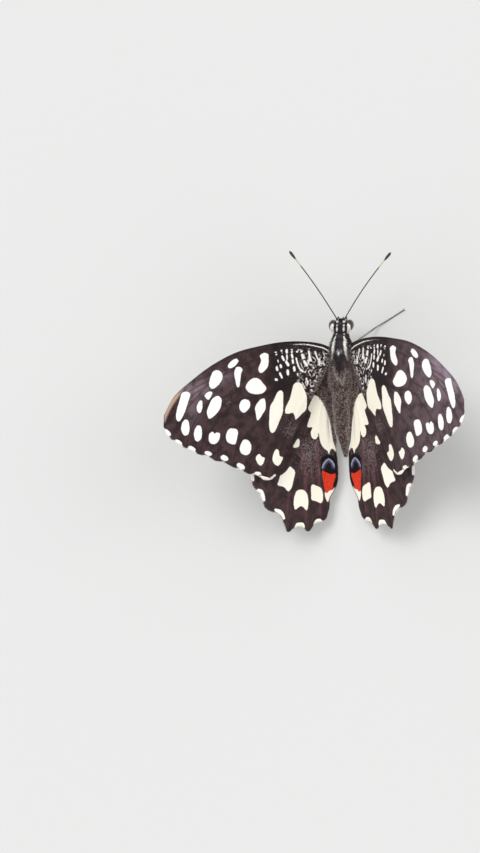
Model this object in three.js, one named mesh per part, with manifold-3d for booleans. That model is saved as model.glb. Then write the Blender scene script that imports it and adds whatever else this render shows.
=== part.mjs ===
// Lime swallowtail butterfly, Papilio demoleus: a still, life-size model standing on its six feet with
// its wings raised in a V. Millimetres, +X to the butterfly's right, +Y forward to its head, +Z up.
// The origin is on the floor, under the middle of the model's box.

import * as THREE from 'three';
import { mergeVertices } from 'three/addons/utils/BufferGeometryUtils.js';
import ManifoldModule from 'manifold-3d';

const wasm = await ManifoldModule();
wasm.setup();

// Stance: the body axis at the forewing roots stands this high, and the head is raised by the pitch.
const STANCE = { pitchDeg: 11, axisHeight: 9 };

// The trunk lies a little askew between the wings: its turn to the right and its shift at the wing roots.
const TRUNK = { turnDeg: 2.3, shift: 0.25 };

const GAP = 0.2; // thin cut between neighbouring parts
const WING_THICKNESS = 0.5;
const UP = new THREE.Vector3(0, 0, 1);

// Wing coordinates: a runs outward from the hinge in the wing's plane, b runs forward with the body.
// Each wing has its hinge point and its dihedral, the angle that it is raised above the level.
const FOREWING = {
  hinge: { left: [-2.6, 0, 1.5], right: [2.6, 0, 1.5] },
  dihedralDeg: { left: 43.4, right: 50.8 },
  costa: [[-0.8, 1.3], [2, 2.2], [6.5, 2.75], [11.5, 2.8], [17, 2.15], [23, 0.85], [28.9, -1.45], [34, -4.4],
    [38.2, -7.6], [40.8, -10.9]],
  hindMargin: [[-0.8, -2.3], [2.2, -6.3], [5.8, -11.7], [10, -18.4], [14.3, -25.2]],
  veinEnds: [[14.3, -25.2], [17.1, -26.2], [20.9, -24.5], [24.9, -22.5], [28.9, -21], [32.9, -19.4],
    [36.1, -17.9], [39.1, -16], [41.4, -13.3]],
  notches: [-0.3, 0.35, 0.35, 0.35, 0.35, 0.35, 0.35, 0.35],
  rootShare: 0.3,
  span: 42,
  bow: 0.45,
  droop: 0.6,
  droopFrom: 6,
  droopTo: 20,
};
const HINDWING = {
  hinge: { left: [-3.05, 0, 0.2], right: [2.15, 0, 0.2] },
  dihedralDeg: { left: 38.1, right: 42.4 },
  costa: [[-0.6, -2.8], [3, -1.6], [7.5, -2.2], [12.5, -5.2], [16.6, -10.5], [19, -16], [19.8, -21]],
  hindMargin: [[-0.6, -6.5], [-0.1, -10], [-0.4, -13.5], [-0.9, -17], [-1.4, -20.5], [-1.7, -23.7],
    [-1.5, -26], [-0.5, -29], [0.8, -31.4], [1.35, -33.6], [2.3, -35.8]],
  veinEnds: [[2.3, -35.8], [6.15, -37.9], [10.9, -37.9], [16.2, -32.4], [19.1, -27.1], [19.7, -23.8]],
  notches: [0.7, 1.1, 1.0, 0.5, 0.3],
  rootShare: 0.42,
  lift: 0.5,
  liftAcross: [8, 17],
  liftAlong: [-30, -18],
  fold: 0.35,
  foldAlong: [-22, -15],
};
const WING_STEPS = { margin: 9, perCell: 4, chord: 5 };

// Trunk stations run along its axis. Each has its place [x, y, z] and its half width, rise and drop there.
const HEAD = [
  { at: [0, 4.15, -0.05], size: [1.62, 1.5, 1.5] },
  { at: [0, 4.8, -0.05], size: [1.8, 1.8, 1.75] },
  { at: [0, 5.8, -0.05], size: [1.72, 1.85, 1.85] },
  { at: [0, 6.7, -0.1], size: [1.35, 1.6, 1.7] },
  { at: [0, 7.2, -0.15], size: [0.95, 1.15, 1.3] },
  { at: [0, 7.45, -0.2], size: [0.4, 0.5, 0.6] },
];
const PROTHORAX = [
  { at: [0, 2.65, 0], size: [2.1, 2.35, 2.3] },
  { at: [0, 3.4, 0], size: [2.05, 2.1, 2.05] },
  { at: [0, 3.95, -0.02], size: [1.75, 1.7, 1.65] },
];
const THORAX = [
  { at: [0, -7.3, -0.25], size: [2.05, 1.95, 2.2] },
  { at: [0, -5.6, -0.1], size: [2.65, 2.85, 3.2] },
  { at: [0, -2.8, 0], size: [2.85, 3.3, 3.6] },
  { at: [0, 0, 0], size: [2.7, 3.15, 3.35] },
  { at: [0, 2.45, 0], size: [2.15, 2.45, 2.4] },
];
const ABDOMEN = [
  { at: [0.75, -22.75, -0.95], size: [0.3, 0.35, 0.35] },
  { at: [0.7, -22.2, -0.95], size: [0.62, 0.7, 0.72] },
  { at: [0.45, -19.8, -0.95], size: [1.08, 1.2, 1.25] },
  { at: [0.05, -16.7, -0.9], size: [1.6, 1.75, 1.8] },
  { at: [0, -13, -0.75], size: [1.95, 2.1, 2.2] },
  { at: [0, -10, -0.6], size: [2.05, 2.2, 2.35] },
  { at: [0, -7.5, -0.4], size: [1.9, 1.95, 2.2] },
];
const EYE = { at: [1.75, 5.75, 0.05], radii: [0.98, 1.25, 1.5] };
const PALP = { x: 0.82, path: [[5.9, -2.25], [6.9, -2.3], [7.75, -1.55], [8.05, -0.35]], radius: 0.34 };
const PROBOSCIS = { at: [0, 6.7, -2.6], coilRadius: 0.9, thickness: 0.5, hub: 0.3 };

// Antennae leave the front of the head and spread outward: slightly bowed shafts with a club at the end.
const ANTENNA = {
  root: [0.75, 7.0, 1.45],
  reach: { left: [10.4, 21.6], right: [11.3, 20.9] },
  rise: 2.6,
  bow: 0.45,
  shaftRadius: 0.25,
  clubRadius: 0.42,
  clubShare: 0.17,
};

// Legs: the coxa's root on the trunk, then hip, knee, ankle and toe in the standing frame, toes on the floor.
const LEGS = {
  pairs: {
    fore: {
      coxaRoot: [0.9, 1.2, -2.6],
      left: { hip: [-1.25, -0.7, 4.1], knee: [-3.4, 1.5, 6.6], ankle: [-7.6, 2.9, 0.6], toe: [-13.4, 3.1] },
      right: { hip: [1.55, -0.7, 4.1], knee: [3.0, 2.5, 6.3], ankle: [7.3, 6.95, 0.6], toe: [12.95, 10.25] },
    },
    mid: {
      coxaRoot: [1.2, -1.9, -3.0],
      left: { hip: [-1.6, -3.7, 4.0], knee: [-5.6, -4.0, 7.7], ankle: [-9.7, -4.8, 0.6], toe: [-15.6, -6.8] },
      right: { hip: [1.9, -3.7, 4.0], knee: [5.8, -4.0, 7.7], ankle: [9.7, -4.8, 0.6], toe: [15.6, -6.8] },
    },
    hind: {
      coxaRoot: [1.2, -4.6, -2.8],
      left: { hip: [-1.7, -6.3, 4.3], knee: [-5.2, -9.9, 7.9], ankle: [-7.4, -17.2, 0.6], toe: [-9.4, -24] },
      right: { hip: [1.7, -6.3, 4.3], knee: [5.0, -9.9, 7.9], ankle: [7.3, -17.2, 0.6], toe: [9.3, -24] },
    },
  },
  radii: { coxa: [0.75, 0.5], femur: [0.38, 0.46, 0.3], tibia: [0.3, 0.26] },
  tarsus: { radius: 0.26, floorHeight: 0.18, parts: 5 },
};

const SIDES = { left: -1, right: 1 };

// Sides round and steps along each kind of solid.
const FACETS = {
  head: [18, 8],
  prothorax: [20, 3],
  thorax: [20, 10],
  abdomen: [18, 14],
  eye: [16, 10],
  palp: [8, 5],
  coil: 16,
  antenna: [6, 24],
  legSegment: [6, 4],
  tarsus: [6, 8],
};

function signedVolume(geometry) {
  const position = geometry.attributes.position;
  const index = geometry.index;
  const corner = [new THREE.Vector3(), new THREE.Vector3(), new THREE.Vector3()];
  let volume = 0;
  for (let i = 0; i < index.count; i += 3) {
    corner.forEach((point, k) => point.fromBufferAttribute(position, index.getX(i + k)));
    volume += corner[0].dot(corner[1].cross(corner[2])) / 6;
  }
  return volume;
}

// Faces point out: a shape that a mirrored map has turned inside out has its triangles reversed.
function facingOut(geometry) {
  if (signedVolume(geometry) < 0) {
    geometry.index.array.reverse();
  }
  geometry.computeVertexNormals();
  return geometry;
}

// A closed three.js primitive with every vertex moved by a function of its place.
function shaped(primitive, place) {
  primitive.deleteAttribute('normal');
  primitive.deleteAttribute('uv');
  primitive.clearGroups();
  const geometry = mergeVertices(primitive);
  const position = geometry.attributes.position;
  const point = new THREE.Vector3();
  for (let i = 0; i < position.count; i += 1) {
    point.fromBufferAttribute(position, i);
    const moved = place(point);
    position.setXYZ(i, moved.x, moved.y, moved.z);
  }
  return facingOut(geometry);
}

function toSolid(geometry) {
  const mesh = new wasm.Mesh({
    numProp: 3,
    vertProperties: Float32Array.from(geometry.attributes.position.array),
    triVerts: Uint32Array.from(geometry.index.array),
  });
  return new wasm.Manifold(mesh);
}

// The shape less its neighbours. Only its largest piece is kept, so that it stays one body.
function cutAway(geometry, ...neighbours) {
  const rest = neighbours.reduce((solid, tool) => solid.subtract(toSolid(tool)), toSolid(geometry));
  const pieces = rest.decompose();
  pieces.sort((p, q) => q.volume() - p.volume());
  const mesh = pieces[0].getMesh();
  const cut = new THREE.BufferGeometry();
  cut.setAttribute('position', new THREE.BufferAttribute(Float32Array.from(mesh.vertProperties), 3));
  cut.setIndex(new THREE.BufferAttribute(Uint32Array.from(mesh.triVerts), 1));
  cut.computeVertexNormals();
  return cut;
}

function named(name, geometry, material) {
  const mesh = new THREE.Mesh(geometry, material);
  mesh.name = name;
  return mesh;
}

function finish(color, roughness) {
  return new THREE.MeshStandardMaterial({ color, roughness, metalness: 0 });
}

const curve2 = (points) => new THREE.SplineCurve(points.map(([x, y]) => new THREE.Vector2(x, y)));
const curve3 = (points) => new THREE.CatmullRomCurve3(points.map((p) => new THREE.Vector3(...p)));
const smooth = (from, to, value) => THREE.MathUtils.smoothstep(value, from, to);

// Places a trunk point among the wings.
const trunkTurn = THREE.MathUtils.degToRad(TRUNK.turnDeg);
function onTrunk(point) {
  const x = point.x * Math.cos(trunkTurn) + point.y * Math.sin(trunkTurn) + TRUNK.shift;
  const y = point.y * Math.cos(trunkTurn) - point.x * Math.sin(trunkTurn);
  return new THREE.Vector3(x, y, point.z);
}

// A length of the trunk: oval sections through its stations, grown by `extra` all round.
function trunkLength(stations, [sides, steps], extra = 0) {
  const spine = curve3(stations.map((station) => station.at));
  const girth = curve3(stations.map((station) => station.size));
  const forward = Math.sign(stations[stations.length - 1].at[1] - stations[0].at[1]);
  return shaped(new THREE.CylinderGeometry(1, 1, 1, sides, steps), (point) => {
    const t = THREE.MathUtils.clamp(point.y + 0.5, 0, 1);
    const centre = spine.getPoint(t);
    const size = girth.getPoint(t);
    const beyond = Math.abs(point.y) > 0.499 ? Math.sign(point.y) * forward * extra : 0;
    const rise = point.z > 0 ? size.y : size.z;
    return onTrunk(new THREE.Vector3(
      centre.x + point.x * (size.x + extra),
      centre.y + beyond,
      centre.z + point.z * (rise + extra),
    ));
  });
}

function eyeSolid(side, extra = 0) {
  const [rx, ry, rz] = EYE.radii;
  return shaped(new THREE.SphereGeometry(1, ...FACETS.eye), (point) => onTrunk(new THREE.Vector3(
    side * EYE.at[0] + point.x * (rx + extra),
    EYE.at[1] + point.y * (ry + extra),
    EYE.at[2] + point.z * (rz + extra),
  )));
}

// A round rod along a curve, with its radius given along the way and one flat of its section down.
function rod(curve, radiusAt, [sides, steps]) {
  const section = new THREE.CylinderGeometry(1, 1, 1, sides, steps, false, Math.PI / sides);
  return shaped(section, (point) => {
    const t = THREE.MathUtils.clamp(point.y + 0.5, 0, 1);
    const centre = curve.getPoint(t);
    const along = curve.getTangent(t);
    const across = new THREE.Vector3().crossVectors(along, UP).normalize();
    const lift = new THREE.Vector3().crossVectors(across, along);
    const radius = radiusAt(t);
    return centre.addScaledVector(across, point.x * radius).addScaledVector(lift, point.z * radius);
  });
}

function palpSolid(side) {
  const path = curve3(PALP.path.map(([y, z]) => onTrunk(new THREE.Vector3(side * PALP.x, y, z)).toArray()));
  return rod(path, (t) => PALP.radius * (1 - 0.35 * smooth(0.7, 1, t)), FACETS.palp);
}

// The coiled tongue: a round, slightly dished roll standing between the palps.
function proboscisSolid() {
  const half = PROBOSCIS.thickness / 2;
  const profile = [[0, -half * 0.8], [PROBOSCIS.hub, -half * 0.8], [PROBOSCIS.coilRadius * 0.75, -half],
    [PROBOSCIS.coilRadius, -half * 0.4], [PROBOSCIS.coilRadius, half * 0.4],
    [PROBOSCIS.coilRadius * 0.75, half], [PROBOSCIS.hub, half * 0.8], [0, half * 0.8]];
  const roll = new THREE.LatheGeometry(profile.map(([r, h]) => new THREE.Vector2(r, h)), FACETS.coil);
  return shaped(roll, (point) => {
    const [x, y, z] = PROBOSCIS.at;
    return onTrunk(new THREE.Vector3(x + point.y, y + point.x, z + point.z));
  });
}

// A feeler: a thin shaft in a shallow bow that thickens into its club.
function antennaSolid(sideName) {
  const side = SIDES[sideName];
  const [rootX, rootY, rootZ] = ANTENNA.root;
  const [tipX, tipY] = ANTENNA.reach[sideName];
  const spread = new THREE.Vector3(side * (tipX - rootX), tipY - rootY, ANTENNA.rise);
  const bowed = [0, 0.2, 0.4, 0.6, 0.8, 1].map((t) => onTrunk(new THREE.Vector3(
    side * (rootX - ANTENNA.bow * Math.sin(Math.PI * t)) + spread.x * t,
    rootY + spread.y * t,
    rootZ + spread.z * Math.sin(t * Math.PI * 0.5),
  )).toArray());
  const radiusAt = (t) => {
    const club = smooth(1 - ANTENNA.clubShare, 1 - ANTENNA.clubShare * 0.35, t);
    const tip = 1 - 0.45 * smooth(0.97, 1, t);
    return THREE.MathUtils.lerp(ANTENNA.shaftRadius, ANTENNA.clubRadius, club) * tip;
  };
  return rod(curve3(bowed), radiusAt, FACETS.antenna);
}

// Points along a wing's outer margin: hollow notches between the ends of its veins.
function marginPoints(wing) {
  const points = [];
  for (let cell = 0; cell < wing.notches.length; cell += 1) {
    const from = new THREE.Vector2(...wing.veinEnds[cell]);
    const to = new THREE.Vector2(...wing.veinEnds[cell + 1]);
    const inward = new THREE.Vector2(from.y - to.y, to.x - from.x).normalize();
    for (let step = 1; step <= WING_STEPS.perCell; step += 1) {
      const t = step / WING_STEPS.perCell;
      const depth = wing.notches[cell] * Math.sin(Math.PI * t);
      points.push(from.clone().lerp(to, t).addScaledVector(inward, depth));
    }
  }
  return points;
}

// The middle surface of each wing, as a height over its plane: the forewing bows up along its span and
// droops to its hind edge, and the hindwing lifts at its outer front corner and folds down by the abdomen.
function forewingHeight(a, b) {
  const bow = FOREWING.bow * Math.sin(Math.PI * THREE.MathUtils.clamp(a / FOREWING.span, 0, 1));
  const droop = FOREWING.droop * smooth(FOREWING.droopFrom, FOREWING.droopTo, -b - 0.3 * a);
  return bow - droop;
}

function hindwingHeight(a, b) {
  const lift = HINDWING.lift * smooth(...HINDWING.liftAcross, a) * smooth(...HINDWING.liftAlong, b);
  const fold = HINDWING.fold * Math.max(0, 1 - a) ** 2 * smooth(...HINDWING.foldAlong, b);
  return lift - fold;
}

// A wing: its hind edge and margin are ruled across to its costa, and the sheet is thickened both ways.
function wingSolid(wing, sideName, heightAt) {
  const side = SIDES[sideName];
  const hinge = new THREE.Vector3(...wing.hinge[sideName]);
  const dihedral = THREE.MathUtils.degToRad(wing.dihedralDeg[sideName]);
  const outward = new THREE.Vector3(side * Math.cos(dihedral), 0, Math.sin(dihedral));
  const above = new THREE.Vector3(-side * Math.sin(dihedral), 0, Math.cos(dihedral));
  const inner = curve2(wing.hindMargin).getSpacedPoints(WING_STEPS.margin);
  const rear = [...inner, ...marginPoints(wing)];
  const costa = curve2(wing.costa);
  const outerSteps = rear.length - 1 - WING_STEPS.margin;
  const front = rear.map((_, i) => {
    const inRoot = i <= WING_STEPS.margin;
    const share = inRoot
      ? wing.rootShare * (i / WING_STEPS.margin)
      : wing.rootShare + (1 - wing.rootShare) * ((i - WING_STEPS.margin) / outerSteps);
    return costa.getPointAt(share);
  });
  const surface = (a, b) => new THREE.Vector3(0, b, 0)
    .add(hinge)
    .addScaledVector(outward, a)
    .addScaledVector(above, heightAt(a, b));
  const block = new THREE.BoxGeometry(1, 1, 1, rear.length - 1, WING_STEPS.chord, 1);
  return shaped(block, (point) => {
    const i = Math.round((point.x + 0.5) * (rear.length - 1));
    const flat = rear[i].clone().lerp(front[i], point.y + 0.5);
    const step = 0.05;
    const middle = surface(flat.x, flat.y);
    const alongA = surface(flat.x + step, flat.y).sub(middle);
    const alongB = surface(flat.x, flat.y + step).sub(middle);
    const normal = new THREE.Vector3().crossVectors(alongA, alongB).normalize().multiplyScalar(side);
    return middle.addScaledVector(normal, point.z * WING_THICKNESS);
  });
}

// Puts a shape that is fixed to the body into the standing frame.
const standingTurn = new THREE.Matrix4()
  .makeRotationX(THREE.MathUtils.degToRad(STANCE.pitchDeg))
  .setPosition(0, 0, STANCE.axisHeight);

// A leg segment between two joints, grown by `extra` all round.
function segment(from, to, radii, extra = 0) {
  const along = to.clone().sub(from).normalize();
  const start = from.clone().addScaledVector(along, -extra - radii[0] * 0.3);
  const end = to.clone().addScaledVector(along, extra + radii[radii.length - 1] * 0.5);
  const girth = curve2(radii.map((radius, i) => [i, radius]));
  const rounded = (t) => 0.7 + 0.3 * smooth(0, 0.1, t) * smooth(0, 0.1, 1 - t);
  const radiusAt = (t) => girth.getPoint(t).y * rounded(t) + extra;
  return rod(new THREE.LineCurve3(start, end), radiusAt, FACETS.legSegment);
}

// The five-part foot: it comes down from the ankle and lies flat on the floor.
function tarsusSolid(ankle, toe) {
  const onFloor = (t, height) => ankle.clone().lerp(toe, t).setZ(height).toArray();
  const { radius, floorHeight } = LEGS.tarsus;
  const path = curve3([
    ankle.toArray(),
    onFloor(0.3, radius),
    onFloor(0.6, floorHeight),
    onFloor(1, floorHeight),
  ]);
  const radiusAt = (t) => radius * (0.93 + 0.1 * Math.cos(2 * Math.PI * LEGS.tarsus.parts * t));
  const foot = rod(path, radiusAt, FACETS.tarsus);
  return shaped(foot, (point) => point.setZ(Math.max(point.z, 0)));
}

// One leg's four parts, each drawn clear of the part before it.
function legParts(pair, sideName, thoraxClear) {
  const stance = LEGS.pairs[pair][sideName];
  const [rootX, rootY, rootZ] = LEGS.pairs[pair].coxaRoot;
  const root = onTrunk(new THREE.Vector3(SIDES[sideName] * rootX, rootY, rootZ)).applyMatrix4(standingTurn);
  const hip = new THREE.Vector3(...stance.hip);
  const knee = new THREE.Vector3(...stance.knee);
  const ankle = new THREE.Vector3(...stance.ankle);
  const toe = new THREE.Vector3(...stance.toe, 0);
  const { coxa, femur, tibia } = LEGS.radii;
  return {
    coxa: cutAway(segment(root, hip, coxa), thoraxClear),
    femur: cutAway(segment(hip, knee, femur), segment(root, hip, coxa, GAP), thoraxClear),
    tibia: cutAway(segment(knee, ankle, tibia), segment(hip, knee, femur, GAP)),
    tarsus: cutAway(tarsusSolid(ankle, toe), segment(knee, ankle, tibia, GAP)),
  };
}

const hairBrown = finish(0x4a423f, 0.9);
const wingBlack = finish(0x3c3032, 0.75);
const legBrown = finish(0x4b3a2c, 0.6);
const eyeDark = finish(0x1c1a16, 0.2);
const antennaDark = finish(0x2a2220, 0.5);
const palpCream = finish(0xe6dcc0, 0.85);

function buildTrunk() {
  const eyesClear = Object.values(SIDES).map((side) => eyeSolid(side, GAP));
  const headClear = trunkLength(HEAD, FACETS.head, GAP);
  const parts = [
    named('head', cutAway(trunkLength(HEAD, FACETS.head), ...eyesClear), hairBrown),
    named('prothorax', trunkLength(PROTHORAX, FACETS.prothorax), hairBrown),
    named('thorax', trunkLength(THORAX, FACETS.thorax), hairBrown),
    named('abdomen', trunkLength(ABDOMEN, FACETS.abdomen), hairBrown),
    named('proboscis', cutAway(proboscisSolid(), headClear), antennaDark),
  ];
  for (const [sideName, side] of Object.entries(SIDES)) {
    parts.push(named(`eye_${sideName}`, eyeSolid(side), eyeDark));
    parts.push(named(`antenna_${sideName}`, cutAway(antennaSolid(sideName), headClear), antennaDark));
    parts.push(named(`palp_${sideName}`, cutAway(palpSolid(side), headClear), palpCream));
  }
  return parts;
}

function buildWings() {
  const trunkClear = [trunkLength(THORAX, FACETS.thorax, GAP), trunkLength(ABDOMEN, FACETS.abdomen, GAP)];
  return Object.keys(SIDES).flatMap((sideName) => {
    const forewing = cutAway(wingSolid(FOREWING, sideName, forewingHeight), ...trunkClear);
    const hindwing = cutAway(wingSolid(HINDWING, sideName, hindwingHeight), ...trunkClear);
    return [
      named(`forewing_${sideName}`, forewing, wingBlack),
      named(`hindwing_${sideName}`, hindwing, wingBlack),
    ];
  });
}

function buildLegs() {
  const thoraxClear = trunkLength(THORAX, FACETS.thorax, GAP).applyMatrix4(standingTurn);
  return Object.keys(LEGS.pairs).flatMap((pair) => Object.keys(SIDES).flatMap((sideName) => (
    Object.entries(legParts(pair, sideName, thoraxClear))
      .map(([part, solid]) => named(`leg_${pair}_${sideName}_${part}`, solid, legBrown))
  )));
}

const body = new THREE.Group();
body.applyMatrix4(standingTurn);
body.add(...buildTrunk(), ...buildWings());

const animal = new THREE.Group();
animal.add(body, ...buildLegs());

// The origin goes under the middle of the whole animal, at the level of its soles.
const box = new THREE.Box3().setFromObject(animal, true);
const middle = box.getCenter(new THREE.Vector3());
animal.position.set(-middle.x, -middle.y, -box.min.z);

const model = new THREE.Group();
model.add(animal);

export default model;
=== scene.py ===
# Lime swallowtail butterfly: the finish around the solid model, in metres.
# Dictionaries hold millimetres in the maker's own frames; placed() turns them into the model's frame.
import math

import bmesh
import bpy
import numpy as np
from mathutils import Matrix, Vector


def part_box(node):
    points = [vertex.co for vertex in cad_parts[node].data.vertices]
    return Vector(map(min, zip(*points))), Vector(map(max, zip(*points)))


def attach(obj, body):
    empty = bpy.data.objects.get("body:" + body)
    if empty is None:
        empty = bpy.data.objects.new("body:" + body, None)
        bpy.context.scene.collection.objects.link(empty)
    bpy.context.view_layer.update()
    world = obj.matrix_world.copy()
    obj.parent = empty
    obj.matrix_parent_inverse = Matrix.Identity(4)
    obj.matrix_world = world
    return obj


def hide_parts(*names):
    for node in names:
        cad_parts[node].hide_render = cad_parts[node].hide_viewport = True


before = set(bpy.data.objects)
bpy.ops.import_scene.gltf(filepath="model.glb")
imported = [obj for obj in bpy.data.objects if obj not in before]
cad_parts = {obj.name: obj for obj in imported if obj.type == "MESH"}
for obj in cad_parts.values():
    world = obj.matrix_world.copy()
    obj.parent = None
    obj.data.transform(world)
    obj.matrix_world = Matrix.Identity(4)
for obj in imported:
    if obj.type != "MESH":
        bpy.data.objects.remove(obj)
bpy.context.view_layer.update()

mm = 0.001
sides = {"left": -1, "right": 1}
stance = {"pitchDeg": 11, "axisHeight": 9, "turnDeg": 2.3, "sideShift": 0.25,
          "headAside": 0.045, "neckAt": 2, "headLength": 5.2}
eye = {"place": (1.75, 5.75, 0.05), "radii": (0.96, 1.22, 1.46), "facetsPerMm": 16,
       "around": 56, "up": 40, "lid": 0.36, "lidDrop": 0.6}


# frames: trunk -> body -> standing model

def onTrunk(points, headAside=stance["headAside"]):
    turn = math.radians(stance["turnDeg"])
    x, y, z = np.moveaxis(np.asarray(points, float), -1, 0)
    x = x + headAside * np.clip(y - stance["neckAt"], 0, stance["headLength"])
    return np.stack([x * math.cos(turn) + y * math.sin(turn) + stance["sideShift"],
                     y * math.cos(turn) - x * math.sin(turn), z], -1)


def standing(points):
    pitch = math.radians(stance["pitchDeg"])
    x, y, z = np.moveaxis(np.asarray(points, float), -1, 0)
    return np.stack([x, y * math.cos(pitch) - z * math.sin(pitch),
                     y * math.sin(pitch) + z * math.cos(pitch) + stance["axisHeight"]], -1)


def boxMiddle(node):
    low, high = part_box(node)
    return np.array((low + high) / 2) / mm


# the solid eyes tell where the maker's frame lies in the model's
eyesMiddle = (boxMiddle("eye_left") + boxMiddle("eye_right")) / 2
frameShift = eyesMiddle - standing(onTrunk((0, eye["place"][1], eye["place"][2]), 0.0))


def placed(points):
    return (standing(points) + frameShift) * mm


def stood(points):
    return (np.asarray(points, float) + frameShift) * mm


# small geometry helpers

def smooth(low, high, value):
    t = np.clip((value - low) / (high - low), 0, 1)
    return t * t * (3 - 2 * t)


def bell(value, middle, width):
    return np.exp(-((value - middle) / width) ** 2)


def blob(a, b, place, radii):
    return np.exp(-((a - place[0]) / radii[0]) ** 2 - ((b - place[1]) / radii[1]) ** 2)


def unit(vectors):
    return vectors / np.linalg.norm(vectors, axis=-1)[..., None]


# a smooth curve through given points, finely stepped
def curveThrough(points, closed=False, steps=12):
    points = np.asarray(points, float)
    count = len(points)
    spans = count if closed else count - 1
    at = np.arange(spans * steps + (0 if closed else 1)) / steps
    start = np.minimum(at.astype(int), spans - 1)
    t = (at - start)[:, None]
    index = (lambda i: i % count) if closed else (lambda i: np.clip(i, 0, count - 1))
    p0, p1, p2, p3 = (points[index(start + k)] for k in (-1, 0, 1, 2))
    v1, v2 = (p2 - p0) / 2, (p3 - p1) / 2
    return ((2 * p1 - 2 * p2 + v1 + v2) * t ** 3 + (3 * p2 - 3 * p1 - 2 * v1 - v2) * t ** 2 + v1 * t + p1)


# points at shares of a curve's length
def alongCurve(curve, shares):
    length = np.concatenate([[0], np.cumsum(np.linalg.norm(np.diff(curve, axis=0), axis=1))])
    return np.stack([np.interp(np.asarray(shares) * length[-1], length, column) for column in curve.T], -1)


def lineDistance(a, b, line):
    line = np.asarray(line, float)
    start, step = line[:-1], np.diff(line, axis=0)
    offset = np.stack([a, b], -1)[:, None] - start
    share = np.clip((offset * step).sum(-1) / np.maximum((step ** 2).sum(-1), 1e-9), 0, 1)
    away = np.linalg.norm(offset - share[..., None] * step, axis=-1)
    nearest = away.argmin(1)
    rows = np.arange(len(a))
    return away[rows, nearest], (nearest + share[rows, nearest]) / len(step)


# how far a point lies inside a mark, in mm; reach keeps the work to its neighbourhood
markReach = 1.5


def near(a, b, points):
    low, high = np.min(points, 0) - markReach, np.max(points, 0) + markReach
    return (a > low[0]) & (a < high[0]) & (b > low[1]) & (b < high[1])


def outlineDepth(a, b, outline):
    depth = np.full(len(a), -markReach)
    close = near(a, b, outline)
    x, y = a[close], b[close]
    ring = curveThrough(outline, closed=True, steps=5)
    ring = np.vstack([ring, ring[:1]])
    away = lineDistance(x, y, ring)[0]
    x0, y0, x1, y1 = ring[:-1, 0], ring[:-1, 1], ring[1:, 0], ring[1:, 1]
    rises = (y0 > y[:, None]) != (y1 > y[:, None])
    crossing = x0 + (y[:, None] - y0) * (x1 - x0) / np.where(y1 == y0, 1e-9, y1 - y0)
    inside = (rises & (x[:, None] < crossing)).sum(1) % 2 == 1
    depth[close] = np.where(inside, away, -away)
    return depth


# a stroke is its line and its half width, one number or several from end to end
def strokeDepth(a, b, stroke):
    line, halves = stroke[0], np.atleast_1d(stroke[1])
    depth = np.full(len(a), -markReach)
    close = near(a, b, line)
    away, share = lineDistance(a[close], b[close], curveThrough(line, steps=5))
    depth[close] = np.interp(share, np.linspace(0, 1, len(halves)), halves) - away
    return depth


def ovalDepth(a, b, oval):
    (ca, cb), length, width, tiltDeg = oval
    tilt = math.radians(tiltDeg)
    u = ((a - ca) * math.cos(tilt) + (b - cb) * math.sin(tilt)) / (length / 2)
    v = ((b - cb) * math.cos(tilt) - (a - ca) * math.sin(tilt)) / (width / 2)
    return np.maximum((1 - np.hypot(u, v)) * width / 2, -markReach)


def deepest(a, b, outlines=(), strokes=(), ovals=()):
    marks = [outlineDepth(a, b, mark) for mark in outlines]
    marks += [strokeDepth(a, b, mark) for mark in strokes]
    marks += [ovalDepth(a, b, mark) for mark in ovals]
    return np.max(marks, 0)


def gridFaces(rows, columns, closed=False):
    r, c = np.meshgrid(np.arange(rows - 1), np.arange(columns if closed else columns - 1), indexing="ij")
    r, c, after = r.ravel(), c.ravel(), (c.ravel() + 1) % columns
    return np.stack([r * columns + c, r * columns + after, (r + 1) * columns + after,
                     (r + 1) * columns + c], -1)


# a closed sweep with a pole at either end
def cappedFaces(rows, around):
    first, end, top = rows * around, rows * around + 1, (rows - 1) * around
    faces = gridFaces(rows, around, closed=True).tolist()
    faces += [(first, (k + 1) % around, k) for k in range(around)]
    faces += [(end, top + k, top + (k + 1) % around) for k in range(around)]
    return faces


def newObject(name, mesh):
    piece = bpy.data.objects.new(name, mesh)
    bpy.context.scene.collection.objects.link(piece)
    return piece


def meshPiece(name, points, faces, values=None, material=None, edges=()):
    mesh = bpy.data.meshes.new(name)
    mesh.from_pydata(np.asarray(points).tolist(), [tuple(e) for e in edges], [tuple(f) for f in faces])
    mesh.shade_smooth()
    for key, field in (values or {}).items():
        field = np.asarray(field, np.float32)
        vector = field.ndim == 2
        layer = mesh.attributes.new(key, "FLOAT_VECTOR" if vector else "FLOAT", "POINT")
        layer.data.foreach_set("vector" if vector else "value", field.ravel())
    if material:
        mesh.materials.append(material)
    return newObject(name, mesh)


def addUv(mesh, name, perCorner):
    layer = mesh.uv_layers.new(name=name)
    layer.data.foreach_set("uv", np.asarray(perCorner, np.float32).ravel())


# scale and start of a sweep in its unwrap
aroundScale, aroundStart = 0.94, 0.02
alongScale, alongStart = 0.98, 0.01


# the unwrap of a closed sweep, kept per face corner so that it never runs back over the seam
def unwrap(piece, around, along):
    corners = []
    for polygon in piece.data.polygons:
        index = list(polygon.vertices)
        turn = around[index]
        turn = np.where(turn < np.nanmax(turn) - 0.5, turn + 1, turn)
        turn = np.where(np.isnan(turn), np.nanmean(turn), turn)
        corners += list(zip(turn * aroundScale + aroundStart, along[index] * alongScale + alongStart))
    addUv(piece.data, "OFBake", corners)
    layer = piece.data.attributes.new("coatPlace", "FLOAT_VECTOR", "CORNER")
    layer.data.foreach_set("vector", np.c_[corners, np.zeros(len(corners))].astype(np.float32).ravel())


def faceOut(piece):
    work = bmesh.new()
    work.from_mesh(piece.data)
    bmesh.ops.recalc_face_normals(work, faces=work.faces)
    work.to_mesh(piece.data)
    work.free()


# node trees

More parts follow.
